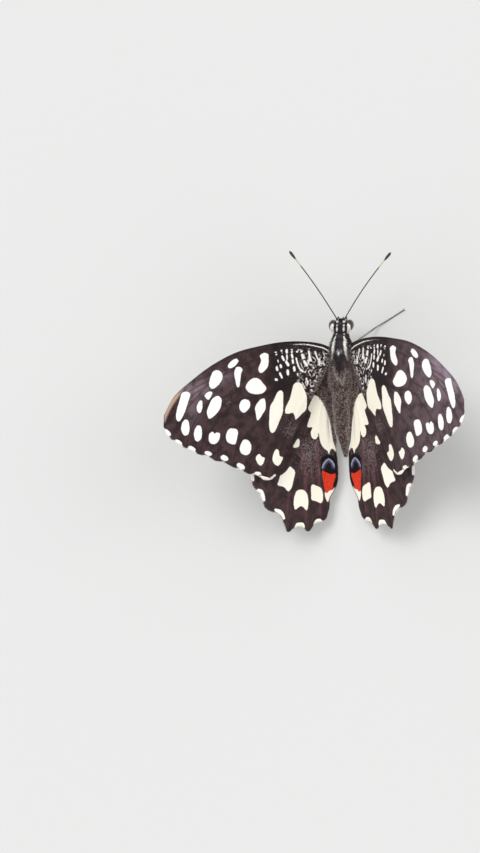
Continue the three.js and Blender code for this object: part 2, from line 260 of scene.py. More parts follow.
def tone(red, green, blue):
    linear = [((c / 255 + 0.055) / 1.055) ** 2.4 if c > 10 else c / 255 / 12.92 for c in (red, green, blue)]
    return (*linear, 1)


# adds a node, fills its visible inputs and gives back its first visible output
def addNode(tree, kind, inputs=None, **settings):
    node = tree.nodes.new(kind)
    for key, value in settings.items():
        setattr(node, key, value)
    shown = [socket for socket in node.inputs if socket.enabled]
    for key, value in (inputs or {}).items():
        socket = shown[key] if isinstance(key, int) else next(s for s in shown if s.name == key)
        if isinstance(value, bpy.types.NodeSocket):
            tree.links.new(value, socket)
        else:
            socket.default_value = value
    return next((s for s in node.outputs if s.enabled), None)


def geometryTree(name, sockets):
    tree = bpy.data.node_groups.new(name, "GeometryNodeTree")
    tree.interface.new_socket("Geometry", in_out="INPUT", socket_type="NodeSocketGeometry")
    tree.interface.new_socket("Geometry", in_out="OUTPUT", socket_type="NodeSocketGeometry")
    for key, kind in sockets.items():
        tree.interface.new_socket(key, in_out="INPUT", socket_type="NodeSocket" + kind)
    return tree, tree.nodes.new("NodeGroupInput").outputs


def closeTree(tree, geometry, given):
    geometry = addNode(tree, "GeometryNodeSetMaterial", {"Geometry": geometry, "Material": given["Finish"]})
    tree.links.new(geometry, tree.nodes.new("NodeGroupOutput").inputs[0])
    return tree


def field(tree, name, kind="FLOAT"):
    return addNode(tree, "GeometryNodeInputNamedAttribute", {"Name": name}, data_type=kind)


def calc(tree, operation, *values):
    return addNode(tree, "ShaderNodeMath", dict(enumerate(values)), operation=operation)


def times(tree, first, second):
    return calc(tree, "MULTIPLY", first, second)


def vectorCalc(tree, operation, *values):
    return addNode(tree, "ShaderNodeVectorMath", dict(enumerate(values)), operation=operation)


patchSize = 0.003   # what one hair spans in the unwrap


# tufts set on a surface, lying along its coatLie; needs coatLie, coatLength, coatPlace and a density
def coatTree():
    tree, given = geometryTree("coat", {
        "Tuft": "Object", "Finish": "Material", "Where": "String", "Density": "Float", "Length": "Float",
        "Width": "Float", "Lift": "Float", "Spread": "Float", "Seed": "Int"})
    dense = times(tree, field(tree, given["Where"]), given["Density"])
    points = addNode(tree, "GeometryNodeDistributePointsOnFaces",
                     {"Mesh": given["Geometry"], "Density": dense, "Seed": given["Seed"]})
    normal = points.node.outputs["Normal"]

    def chance(kind, low, high, extra):
        seed = calc(tree, "ADD", given["Seed"], extra)
        return addNode(tree, "FunctionNodeRandomValue", {"Min": low, "Max": high, "Seed": seed},
                       data_type=kind)

    stray = vectorCalc(tree, "SCALE", chance("FLOAT_VECTOR", (-1, -1, -1), (1, 1, 1), 11), given["Spread"])
    raised = vectorCalc(tree, "SCALE", normal, given["Lift"])
    lie = vectorCalc(tree, "ADD", vectorCalc(tree, "ADD", field(tree, "coatLie", "FLOAT_VECTOR"), raised),
                     stray)
    turn = addNode(tree, "FunctionNodeAxesToRotation", {"Primary Axis": lie, "Secondary Axis": normal},
                   primary_axis="Y", secondary_axis="Z")
    long = times(tree, field(tree, "coatLength"), given["Length"])
    long = times(tree, long, chance("FLOAT", 0.6, 1.15, 23))
    wide = times(tree, given["Width"], chance("FLOAT", 0.7, 1.3, 37))
    size = addNode(tree, "ShaderNodeCombineXYZ", {0: wide, 1: long, 2: wide})
    tuft = addNode(tree, "GeometryNodeObjectInfo", {"Object": given["Tuft"], "As Instance": True})
    tuft = tuft.node.outputs["Geometry"]
    tufts = addNode(tree, "GeometryNodeInstanceOnPoints",
                    {"Points": points, "Instance": tuft, "Rotation": turn, "Scale": size})
    tufts = addNode(tree, "GeometryNodeStoreNamedAttribute",
                    {"Geometry": tufts, "Name": "tone", "Value": chance("FLOAT", 0.0, 1.0, 53)},
                    data_type="FLOAT", domain="INSTANCE")
    tufts = addNode(tree, "GeometryNodeRealizeInstances", {"Geometry": tufts})
    corner = vectorCalc(tree, "SCALE", field(tree, "patch", "FLOAT_VECTOR"), patchSize)
    spot = vectorCalc(tree, "ADD", field(tree, "coatPlace", "FLOAT_VECTOR"), corner)
    tufts = addNode(tree, "GeometryNodeStoreNamedAttribute",
                    {"Geometry": tufts, "Name": "OFBake", "Value": spot},
                    data_type="FLOAT2", domain="CORNER")
    return closeTree(tree, tufts, given)


# round tubes along edge lines whose points carry a radius; coatPlace is their unwrap, around by along
def tubeTree():
    tree, given = geometryTree("tube", {"Finish": "Material", "Sides": "Int"})
    path = addNode(tree, "GeometryNodeMeshToCurve", {"Mesh": given["Geometry"]})
    ring = addNode(tree, "GeometryNodeCurvePrimitiveCircle", {"Resolution": given["Sides"], "Radius": 1.0})
    share = calc(tree, "DIVIDE", addNode(tree, "GeometryNodeInputIndex"), given["Sides"])
    ring = addNode(tree, "GeometryNodeStoreNamedAttribute",
                   {"Geometry": ring, "Name": "around", "Value": share},
                   data_type="FLOAT", domain="POINT")
    tube = addNode(tree, "GeometryNodeCurveToMesh",
                   {"Curve": path, "Profile Curve": ring, "Scale": field(tree, "radius"), "Fill Caps": True})
    turn = field(tree, "around")
    middle = addNode(tree, "GeometryNodeFieldOnDomain", {"Value": turn}, data_type="FLOAT", domain="FACE")
    wraps = calc(tree, "GREATER_THAN", calc(tree, "SUBTRACT", middle, turn), 0.3)
    place = addNode(tree, "ShaderNodeCombineXYZ", {
        0: calc(tree, "MULTIPLY_ADD", calc(tree, "ADD", turn, wraps), aroundScale, aroundStart),
        1: field(tree, "along")})
    tube = addNode(tree, "GeometryNodeStoreNamedAttribute",
                   {"Geometry": tube, "Name": "coatPlace", "Value": place},
                   data_type="FLOAT_VECTOR", domain="CORNER")
    tube = addNode(tree, "GeometryNodeSetShadeSmooth", {0: tube, "Shade Smooth": True})
    return closeTree(tree, tube, given)


trees = {"coat": coatTree(), "tube": tubeTree()}


# runs a tree on a source and keeps the result as a plain mesh
def grown(name, source, kind, values, kept):
    run = source.modifiers.new(kind, "NODES")
    run.node_group = trees[kind]
    for item in trees[kind].interface.items_tree:
        if item.name in values:
            run[item.identifier] = values[item.name]
    graph = bpy.context.evaluated_depsgraph_get()
    mesh = bpy.data.meshes.new_from_object(source.evaluated_get(graph))
    source.modifiers.remove(run)
    plain = {"position", "sharp_face", "material_index", "OFBake", *kept}
    spare = [layer.name for layer in mesh.attributes if layer.name not in plain and layer.name[0] != "."]
    for key in spare:
        mesh.attributes.remove(mesh.attributes[key])
    return newObject(name, mesh)


# pieces join the model

def join(piece, slot, *nodes):
    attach(piece, "root")
    if nodes:
        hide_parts(*nodes)


# one hair or scale: a three-sided blade along +Y with a fine tip, 16 triangles
def tuftObject():
    stations = ((0.0, 0.35, 0.0), (0.35, 0.5, 0.05), (0.75, 0.36, 0.08))   # along, half width, sag
    ring = ((-1, -0.2), (1, -0.2), (0, 0.55))
    points = [(x * half, y, z * half - sag) for y, half, sag in stations for x, z in ring]
    points.append((0, 1, -0.05))
    faces = [(r * 3 + k, r * 3 + (k + 1) % 3, r * 3 + 3 + (k + 1) % 3, r * 3 + 3 + k)
             for r in range(2) for k in range(3)]
    faces += [(6 + k, 6 + (k + 1) % 3, 9) for k in range(3)] + [(2, 1, 0)]
    piece = meshPiece("tuft", points, faces)
    faceOut(piece)
    corners = [loop.vertex_index for loop in piece.data.loops]
    addUv(piece.data, "patch", [(points[v][0] * 0.5, points[v][1] - 0.5) for v in corners])
    piece.hide_render = True
    return piece


tuft = tuftObject()


# hair on the surface where its field says, marked as the surface is
def coat(name, emitter, where, look, seed):
    values = {"Tuft": tuft, "Finish": finishes["hair"], "Where": where, "Seed": seed,
              "Density": look["perSquareMm"] / mm ** 2, "Length": look["length"] * mm,
              "Width": look["width"] * mm, "Lift": look["lift"], "Spread": look["spread"]}
    return grown(name, emitter, "coat", values, ("tone", "cream", "dusk"))


# tubes along several lines at once; each line holds its points and radius in metres, and its fields
def tubes(name, lines, finish, tubeSides, kept):
    points, edges, values = [], [], {"radius": []}
    for line in lines:
        start = sum(len(p) for p in points)
        points.append(line["points"])
        edges += [(start + i, start + i + 1) for i in range(len(line["points"]) - 1)]
        values["radius"].append(line["radius"])
        for key in kept:
            if key in line:
                values.setdefault(key, []).append(line[key])
    values = {key: np.concatenate(parts) for key, parts in values.items()}
    path = meshPiece(name + "_path", np.concatenate(points), [], values, edges=edges)
    piece = grown(name, path, "tube", {"Finish": finish, "Sides": tubeSides}, kept)
    bpy.data.objects.remove(path)
    return piece


# materials

def newFinish(name):
    finish = bpy.data.materials.new(name)
    finish.use_nodes = True
    return finish, finish.node_tree, finish.node_tree.nodes["Principled BSDF"]


def setShader(tree, shader, color, values):
    tree.links.new(color, shader.inputs["Base Color"])
    for key, value in values.items():
        shader.inputs[key].default_value = value


def read(tree, name, output="Fac"):
    return addNode(tree, "ShaderNodeAttribute", attribute_name=name).node.outputs[output]


def step(tree, low, high, value):
    return addNode(tree, "ShaderNodeMapRange", {"Value": value, "From Min": low, "From Max": high},
                   interpolation_type="SMOOTHSTEP")


def mix(tree, share, first, second):
    return addNode(tree, "ShaderNodeMix", {0: share, 1: first, 2: second}, data_type="RGBA")


def objectPlace(tree):
    return addNode(tree, "ShaderNodeTexCoord").node.outputs["Object"]


def noise(tree, place, scale, detail, rough=0.5):
    return addNode(tree, "ShaderNodeTexNoise",
                   {"Vector": place, "Scale": scale, "Detail": detail, "Roughness": rough})


def cells(tree, place, scale, randomness=1.0, flat=True):
    return addNode(tree, "ShaderNodeTexVoronoi", {"Vector": place, "Scale": scale, "Randomness": randomness},
                   voronoi_dimensions="2D" if flat else "3D")


def bump(tree, shader, height, strength, distance):
    normal = addNode(tree, "ShaderNodeBump", {"Height": height, "Strength": strength, "Distance": distance})
    tree.links.new(normal, shader.inputs["Normal"])


# wings: each is ruled from its rear edge to its costa, a outward and b forward in mm

forewing = {
    "hinge": {"left": (-2.6, 0, 1.5), "right": (2.6, 0, 1.5)},
    "dihedralDeg": {"left": 43.4, "right": 50.8},
    "costa": [
        (-0.8, 1.3), (2, 2.2), (6.5, 2.75), (11.5, 2.8), (17, 2.2), (23, 1.05), (28.9, -1.35), (34, -4.3),
        (38.3, -7.35), (40.8, -10.9)
    ],
    "hindMargin": [(-0.8, -2.3), (2.2, -6.3), (5.8, -11.7), (10, -18.4), (14.3, -25.2)],
    "veinEnds": [
        (14.3, -25.2), (17.2, -25.75), (20.9, -24.3), (24.9, -22.5), (28.9, -21), (32.9, -19.4),
        (36.1, -17.9), (39.1, -16), (41.0, -13.3)
    ],
    "notches": [-0.45, 0.4, 0.12, 0.28, 0.22, 0.08, 0.02, -0.28],
    "stretch": {"left": (0.22, 0, 0), "right": (0.5, 0.35, 0.2)}, "bulge": {"left": 0.1, "right": 0.55},
    "reachIn": {"left": 0, "right": 0}, "rootShare": 0.3, "rows": (110, 130), "across": 112,
    "place": {"corner": (-2, -27), "scale": 60, "underShift": (0, 0.5)},
}
hindwing = {
    "hinge": {"left": (-3.05, 0, 0.2), "right": (2.15, 0, 0.2)},
    "dihedralDeg": {"left": 38.1, "right": 42.4},
    "costa": [(-0.6, -2.8), (3, -1.6), (7.5, -2.2), (12.5, -5.2), (16.6, -10.5), (19, -16), (19.8, -21)],
    "hindMargin": [
        (-0.6, -6.5), (-0.1, -10), (-0.4, -13.5), (-0.9, -17), (-1.5, -20.5), (-1.75, -23.4),
        (-1.75, -26.2), (-1.35, -28.2), (-0.45, -29.7), (0.6, -31.3), (0.8, -33.2), (1.55, -35.1)
    ],
    # teeth at the veins with bays between them, from the tail corner outward
    "margin": [
        (1.55, -35.1), (2.3, -35.8), (3.3, -36), (4.1, -36.05), (4.9, -36.5), (5.5, -37.25), (6, -37.7),
        (6.6, -37.6), (7.2, -36.85), (8.3, -36.55), (9.4, -36.65), (10.3, -37.1), (11, -37.55),
        (11.45, -37.05), (11.85, -35.7), (12.4, -34.6), (13.15, -33.65), (14.25, -33.05), (15.3, -32.6),
        (16.1, -32), (16.5, -31.2), (16.75, -30.3), (17.3, -29.2), (18.1, -28.1), (18.9, -27),
        (19.25, -25.9), (19.4, -24.3), (19.6, -22.6)
    ],
    "reachIn": {"left": 1.15, "right": 0.65}, "rootShare": 0.42, "rows": (105, 105), "across": 100,
    "place": {"corner": (-2, -38.5), "scale": 45, "underShift": (0.5, 0)},
}
# half thickness, at the rim too, inset and pleats at the veins in mm; steps over which rim and pleats fade
sheet = {"half": 0.07, "rim": 0.025, "inset": 0.12, "pleat": 0.05, "pleatWidth": 0.55, "level": 0.35,
         "rimSteps": 3, "pleatSteps": 6}


def forewingHeight(a, b):
    return 0.45 * np.sin(math.pi * np.clip(a / 42, 0, 1)) - 0.6 * smooth(6, 20, -b - 0.3 * a)


def hindwingHeight(a, b):
    return 0.5 * smooth(8, 17, a) * smooth(-30, -18, b) - 0.35 * np.clip(1 - a, 0, 1.1) ** 2 * smooth(-22,
                                                                                                      -15, b)


# the tables are the mean of both sides; each forewing is stretched outward, and at its front forward too
def settled(wing, side, a, b):
    if "stretch" not in wing:
        return a, b
    outward, outwardAhead, forward = wing["stretch"][side]
    share = smooth(4, 24, a)
    behindCosta = b - np.interp(a, *np.array(wing["costa"]).T)
    bulge = wing["bulge"][side] * bell(a, 32, 8) * smooth(-0.9, 0, behindCosta)
    return a + share * (outward + outwardAhead * smooth(-13, -9, b)), b + share * forward + bulge


# a wing point in the model, raised off the wing's own surface
def onWing(wing, side, a, b, raised=0.0):
    turn, out = math.radians(wing["dihedralDeg"][side]), sides[side]
    a, b = settled(wing, side, a, b)
    lift = wing["height"](a, b) + raised
    x, y, z = wing["hinge"][side]
    return placed(np.stack([x + out * (a * math.cos(turn) - lift * math.sin(turn)), y + b,
                            z + a * math.sin(turn) + lift * math.cos(turn)], -1))


# both wings of a pair lean a little apart from the mean
def leanAt(b):
    return np.interp(b, (-20, -9, 3), (-0.2, 0, 0.48))


def leaned(side, a, b):
    return a - sides[side] * leanAt(b)


# outer margin: a free curve, or scallops between vein ends
def outerMargin(wing, marginRows):
    if "margin" in wing:
        return alongCurve(curveThrough(wing["margin"], steps=8), np.linspace(0, 1, marginRows))
    ends, notches = np.array(wing["veinEnds"], float), wing["notches"]
    at = np.linspace(0, len(notches), marginRows)
    cell = np.minimum(at.astype(int), len(notches) - 1)
    t = at - cell
    span = ends[cell + 1] - ends[cell]
    inward = unit(np.stack([-span[:, 1], span[:, 0]], -1))
    depth = np.array(notches)[cell] * np.sin(math.pi * t)
    return ends[cell] + span * t[:, None] + inward * depth[:, None]


# rear edge from the root out: the hind margin, then the outer margin
def rearEdge(wing, side, rootRows, marginRows):
    share = np.arange(rootRows) / rootRows
    root = alongCurve(curveThrough(wing["hindMargin"]), share)
    # the hindwing's inner edge reaches on towards the abdomen
    root[:, 0] -= wing["reachIn"][side] * smooth(-0.06, 0.06, share) * smooth(0.5, 0.3, share)
    edge = np.vstack([root, outerMargin(wing, marginRows)])
    edge[:, 0] += sides[side] * leanAt(edge[:, 1])
    return edge


def frontEdge(wing, rootRows, marginRows):
    shares = np.concatenate([np.arange(rootRows) / rootRows * wing["rootShare"],
                             np.linspace(wing["rootShare"], 1, marginRows)])
    return alongCurve(curveThrough(wing["costa"]), shares)


def wingPlan(wing, side):
    rear, front = rearEdge(wing, side, *wing["rows"]), frontEdge(wing, *wing["rows"])
    span = front - rear
    length = np.linalg.norm(span, axis=1)[:, None]
    inset = sheet["inset"] * smooth(wing["rows"][0] * 0.8, wing["rows"][0], np.arange(len(rear)))[:, None]
    inset = np.minimum(inset, length * 0.2)
    low, high = inset / length, 1 - np.minimum(0.04, length * 0.1) / length
    share = low + (high - low) * np.linspace(0, 1, wing["across"])[None, :]
    return rear[:, None] + span[:, None] * share[..., None]


# veins, each from the wing's root outward, with its radius at both ends
forewingVeins = [
    ([(-0.4, 1.1), (2, 2.0), (6.5, 2.6), (11.5, 2.65), (17, 2), (23, 0.7), (29, -1.6)], (0.14, 0.06)),
    ([(0, 0.2), (6, 0.9), (12, 0.6), (18, -0.5), (22, -1.9)], (0.19, 0.12)),
    ([(0, -1.5), (8, -5.5), (14, -7.2), (18, -8.4), (21.4, -8.3), (22.7, -6.8), (22.9, -4.3), (22, -1.9)],
     (0.17, 0.07)),
    ([(9.5, -5.95), (11.6, -10.5), (19.7, -20.1), (20.9, -24.1)], (0.11, 0.05)),
    ([(9.7, -12.2), (15.7, -21.5), (17.1, -25.6)], (0.05, 0.04)),
    ([(14, -7.2), (15.7, -11.5), (23.3, -17.7), (24.9, -22.5)], (0.11, 0.05)),
    ([(18, -8.4), (19.6, -11), (27.2, -16.6), (28.9, -21)], (0.11, 0.05)),
    ([(21.4, -8.3), (25, -10), (31.3, -15.7), (32.9, -19.4)], (0.1, 0.05)),
    ([(22.7, -6.8), (31.2, -10), (34.7, -14.2), (36.1, -17.9)], (0.1, 0.05)),
    ([(22, -1.9), (29, -4.6), (34.9, -9.4), (37.4, -12), (39.1, -16)], (0.12, 0.05)),
    ([(29, -4.6), (35.4, -8.2), (40.6, -12.9)], (0.09, 0.05)),
    ([(27, -3.6), (33, -5.6), (38.9, -8.7)], (0.09, 0.05)),
    ([(22, -1.9), (28, -2.9), (33.9, -4.6)], (0.09, 0.05)),
    ([(-0.6, -1.7), (3, -4.6), (8, -11.8), (14, -21.6), (14.6, -25)], (0.12, 0.05)),
]
hindwingVeins = [
    ([(-0.3, -3.6), (4, -3.4), (9, -5.1), (14, -9.3), (17.6, -15), (19.4, -20.6)], (0.14, 0.05)),
    ([(-0.3, -4.4), (6, -9), (13, -16), (19.3, -23.6)], (0.15, 0.05)),
    ([(6, -9), (8.9, -13.6), (9, -17), (8, -19), (6.3, -19.6), (4.4, -18.8)], (0.09, 0.07)),
    ([(9, -17), (14.5, -22), (18.8, -26.9)], (0.1, 0.05)),
    ([(8.5, -18.2), (9.6, -20.8), (13.3, -26.5), (16, -31.9)], (0.1, 0.05)),
    ([(6.3, -19.6), (8.2, -27), (9.4, -32), (10.9, -37.3)], (0.1, 0.05)),
    ([(-0.2, -5.4), (1.4, -10), (2.8, -15), (4.4, -18.8), (4.9, -25), (5.35, -31), (6.1, -37.4)],
     (0.15, 0.05)),
    ([(1.4, -10), (2.6, -15.2), (2.6, -18), (2.4, -24), (2.1, -28), (1.95, -32), (2.4, -35.3)],
     (0.11, 0.05)),
    ([(-0.3, -6.2), (0.25, -11), (0, -17), (-0.7, -23), (-0.3, -27.5)], (0.07, 0.04)),
]


def veinRelief(a, b, veins):
    away = np.full(a.shape, 9.0)
    for line, _ in veins:
        close = near(a, b, line)
        away[close] = np.minimum(away[close],
                                 lineDistance(a[close], b[close], curveThrough(line, steps=6))[0])
    return away


# wing pattern: outlines are closed smooth curves in wing mm

forewingMarks = {
    "outlines": [
        # bars and spots in and beyond the cell
        [(15.6, 0.4), (16.6, 0.65), (17.6, 0.1), (17.3, -1), (18, -2.6), (17.5, -3.5), (16.5, -3.1),
         (15.6, -2.1), (15.4, -0.5)],
        [(16.05, -6.75), (16.7, -5.9), (17.75, -4.8), (19.1, -4.45), (20.45, -5.1), (21.2, -6.3),
         (20.35, -7.4), (18.75, -7.85), (17.05, -7.7)],
        [(21.9, -2.6), (22.5, -2), (23.5, -2.1), (23.95, -3.2), (23.7, -4.7), (23.3, -6.1), (22.75, -5.9),
         (22.5, -4.7), (22.25, -3.4)],
        [(26.9, -3.2), (27.85, -2.45), (29.1, -2.7), (29.9, -4.25), (30.05, -5.5), (29.3, -6.2),
         (28.15, -5.7), (27, -4.5)],
        [(29.3, -6.95), (30.2, -6.75), (31.2, -7.5), (30.4, -8.35), (29.85, -8)],
        [(31.8, -8.6), (32.4, -8.5), (33.1, -9.7), (32.9, -10.8), (32.3, -10.9), (31.8, -9.9)],
        [(27.2, -8.4), (28, -7.7), (29.3, -8.2), (30.3, -9.7), (30.75, -10.9), (30.3, -12.25),
         (29.1, -11.8), (27.8, -10.7), (27.25, -9.5)],
        [(34.6, -6.95), (35.5, -6.4), (36.6, -6.8), (37.2, -8.4), (38, -10.7), (37.9, -12.15),
         (37.2, -12.3), (36.4, -11.3), (35.5, -9.5), (34.9, -8)],
        # row beyond the disc, from the apex to the tornus
        [(35.15, -12.6), (35.85, -12.1), (36.65, -12.8), (36.95, -14), (36.45, -15.2), (35.6, -15.3),
         (35.05, -14.4)],
        [(32.2, -14), (33, -13.5), (33.8, -14.3), (34, -15.5), (33.7, -16.5), (33, -16.75),
         (32.2, -15.9)],
        [(27.8, -15.5), (28.6, -15.2), (29.05, -15.45), (29.65, -15), (30.4, -15.5), (30.5, -16.75),
         (29.85, -17.45), (28.85, -17.5), (28.05, -16.7)],
        [(23.4, -15.3), (24.15, -14.7), (25.6, -14.7), (26.35, -15.9), (26.25, -17), (25.4, -17.7),
         (24.15, -17.9), (23.65, -16.75)],
        [(20.2, -18.2), (21, -17.25), (22.2, -17.25), (23, -18.8), (22.6, -19.9), (21.4, -20.4),
         (20.5, -20), (20.1, -19)],
        [(16.8, -21.3), (17.6, -20.9), (18.05, -20.4), (18.8, -20.7), (19, -21.5), (18.3, -22.6),
         (17.6, -22.8), (17.1, -22.2)],
        [(12.2, -21.5), (13, -21.1), (13.3, -19.9), (14, -19.7), (14.7, -20.9), (14.8, -22), (14.1, -23),
         (13.25, -23.1), (12.4, -22.25)],
        # broad marks across the disc
        [(20.2, -9.5), (20.75, -8.9), (22, -8.8), (22.8, -9.7), (22.75, -10.8), (22, -11.5),
         (21.2, -11.3), (20.3, -10.4)],
        [(16.5, -9.05), (17.1, -8.85), (17.9, -9.2), (19, -10.5), (18.9, -11.75), (18.65, -13.2),
         (18.2, -13.2), (17.3, -12.2), (16.4, -10.9)],
        [(11.9, -8), (12.5, -7.4), (13.3, -7.7), (14.3, -9.25), (15.3, -10.7), (15.55, -13),
         (15.6, -15.1), (15, -16.15), (14.1, -15.8), (13, -13.8), (12.2, -12.2), (12, -10.1)],
        [(5.95, -8.8), (7, -6.55), (7.9, -5.9), (9.1, -6.2), (9.7, -7.6), (10.25, -9.25), (11.4, -11.1),
         (11.45, -12.2), (10.7, -12.4), (9.6, -12.3), (9.1, -13), (8.9, -13.75), (8.2, -13.4),
         (7.2, -12.6), (6.1, -11.75), (5.85, -10.3)],
    ],
    "ovals": [
        ((24.16, -1.2), 2.9, 1.35, -31), ((40.21, -14.48), 2.0, 0.95, 40),
        ((37.67, -16.67), 1.9, 0.9, 32), ((34.59, -18.15), 2.0, 0.85, 27), ((30.68, -19.4), 1.9, 0.9, 18),
        ((26.79, -20.62), 2.0, 1.15, 20), ((22.79, -22.6), 2.2, 1.1, 28), ((18.6, -24.4), 1.7, 0.7, 10)
    ],
    # short pale dashes across the cell
    "dashes": [
        ([(3.5, 0.4), (2.75, -1.25)], 0.19),
        ([(5.15, 0.85), (4.95, -0.5), (4.6, -1.45)], 0.26),
        ([(6.9, 0.8), (7.1, 0.6)], 0.27),
        ([(8.1, 0.8), (8.2, 0.6)], 0.26),
        ([(9.6, 0.95), (9.55, 0.55)], 0.25),
        ([(10.8, 0.95), (10.8, 0.55)], 0.3),
        ([(12.15, 0.95), (12.05, 0.6)], 0.23),
        ([(13.6, 0.6), (13.45, 0.3)], 0.28),
        ([(6.8, -0.2), (6.65, -0.8)], 0.33),
        ([(9.5, -0.05), (9.4, -0.55)], 0.28),
        ([(10.8, -0.1), (10.75, -0.9)], 0.2),
        ([(12, -0.3), (11.6, -1)], 0.26),
        ([(8.4, -0.8), (8.1, -1.9), (7.65, -2.9), (6.75, -3.7)], 0.2),
        ([(6.35, -1.6), (5.7, -2.4)], 0.3),
        ([(9.35, -1.2), (9.25, -1.7)], 0.27),
        ([(10.95, -1.5), (10.5, -2.1)], 0.33),
        ([(13.1, -1), (13, -1.4)], 0.14),
        ([(9, -2.75), (8.9, -3.3)], 0.32),
        ([(12.45, -2.1), (12.3, -2.5)], 0.27),
        ([(13.4, -2.5), (13.3, -3)], 0.29),
        ([(10.65, -3.4), (10.6, -4)], 0.34),
        ([(12.65, -3.8), (12.15, -4.7)], 0.25),
        ([(8.15, -4.1), (8.05, -4.4)], 0.17),
        ([(13.45, -5.1), (13.75, -5)], 0.26),
    ],
    "costal": ([(-0.3, 0.2), (1, 0.95), (2.4, 1.35), (5.3, 1.93), (8.25, 2.12), (10.75, 2.08),
                (14, 1.95)],
               [0.11, 0.13, 0.11, 0.05, -0.08]),
    # pale tan rim of the left apex, paler painted sheen along the right costa
    "rim": {
        "left": ([(35.9, -5.7), (37.4, -7.0), (38.5, -8.1), (39.5, -9.4), (40.3, -10.8), (40.7, -12.3)],
                 [-0.15, 0.2, 0.3, 0.32, 0.25, -0.1]),
        "right": ([(27.6, -1.7), (30.9, -3.35), (33.4, -4.75), (35.9, -6.4), (38, -8.3), (39.2, -9.9)],
                  [-0.4, 0.15, 0.35, 0.35, 0.25, -0.2]),
    },
    "strokes": [
        ([(14.4, -25), (15.1, -25.6), (15.75, -25.95), (16.6, -25.6), (17.8, -25.2)],
         [0.15, 0.3, 0.34, 0.22]),
    ],
    "underRed": ((21.6, -3.4), 2, 1.2, -60),
    "underStrokes": [
        ([(1, 0.9), (13, 0.9)], [0.15, 0.35]), ([(1, 0.2), (13.5, -0.9)], [0.15, 0.35]),
        ([(1.2, -0.5), (13.5, -2.6)], [0.15, 0.38]), ([(1.5, -1.2), (13, -4.2)], [0.15, 0.4])
    ],
}
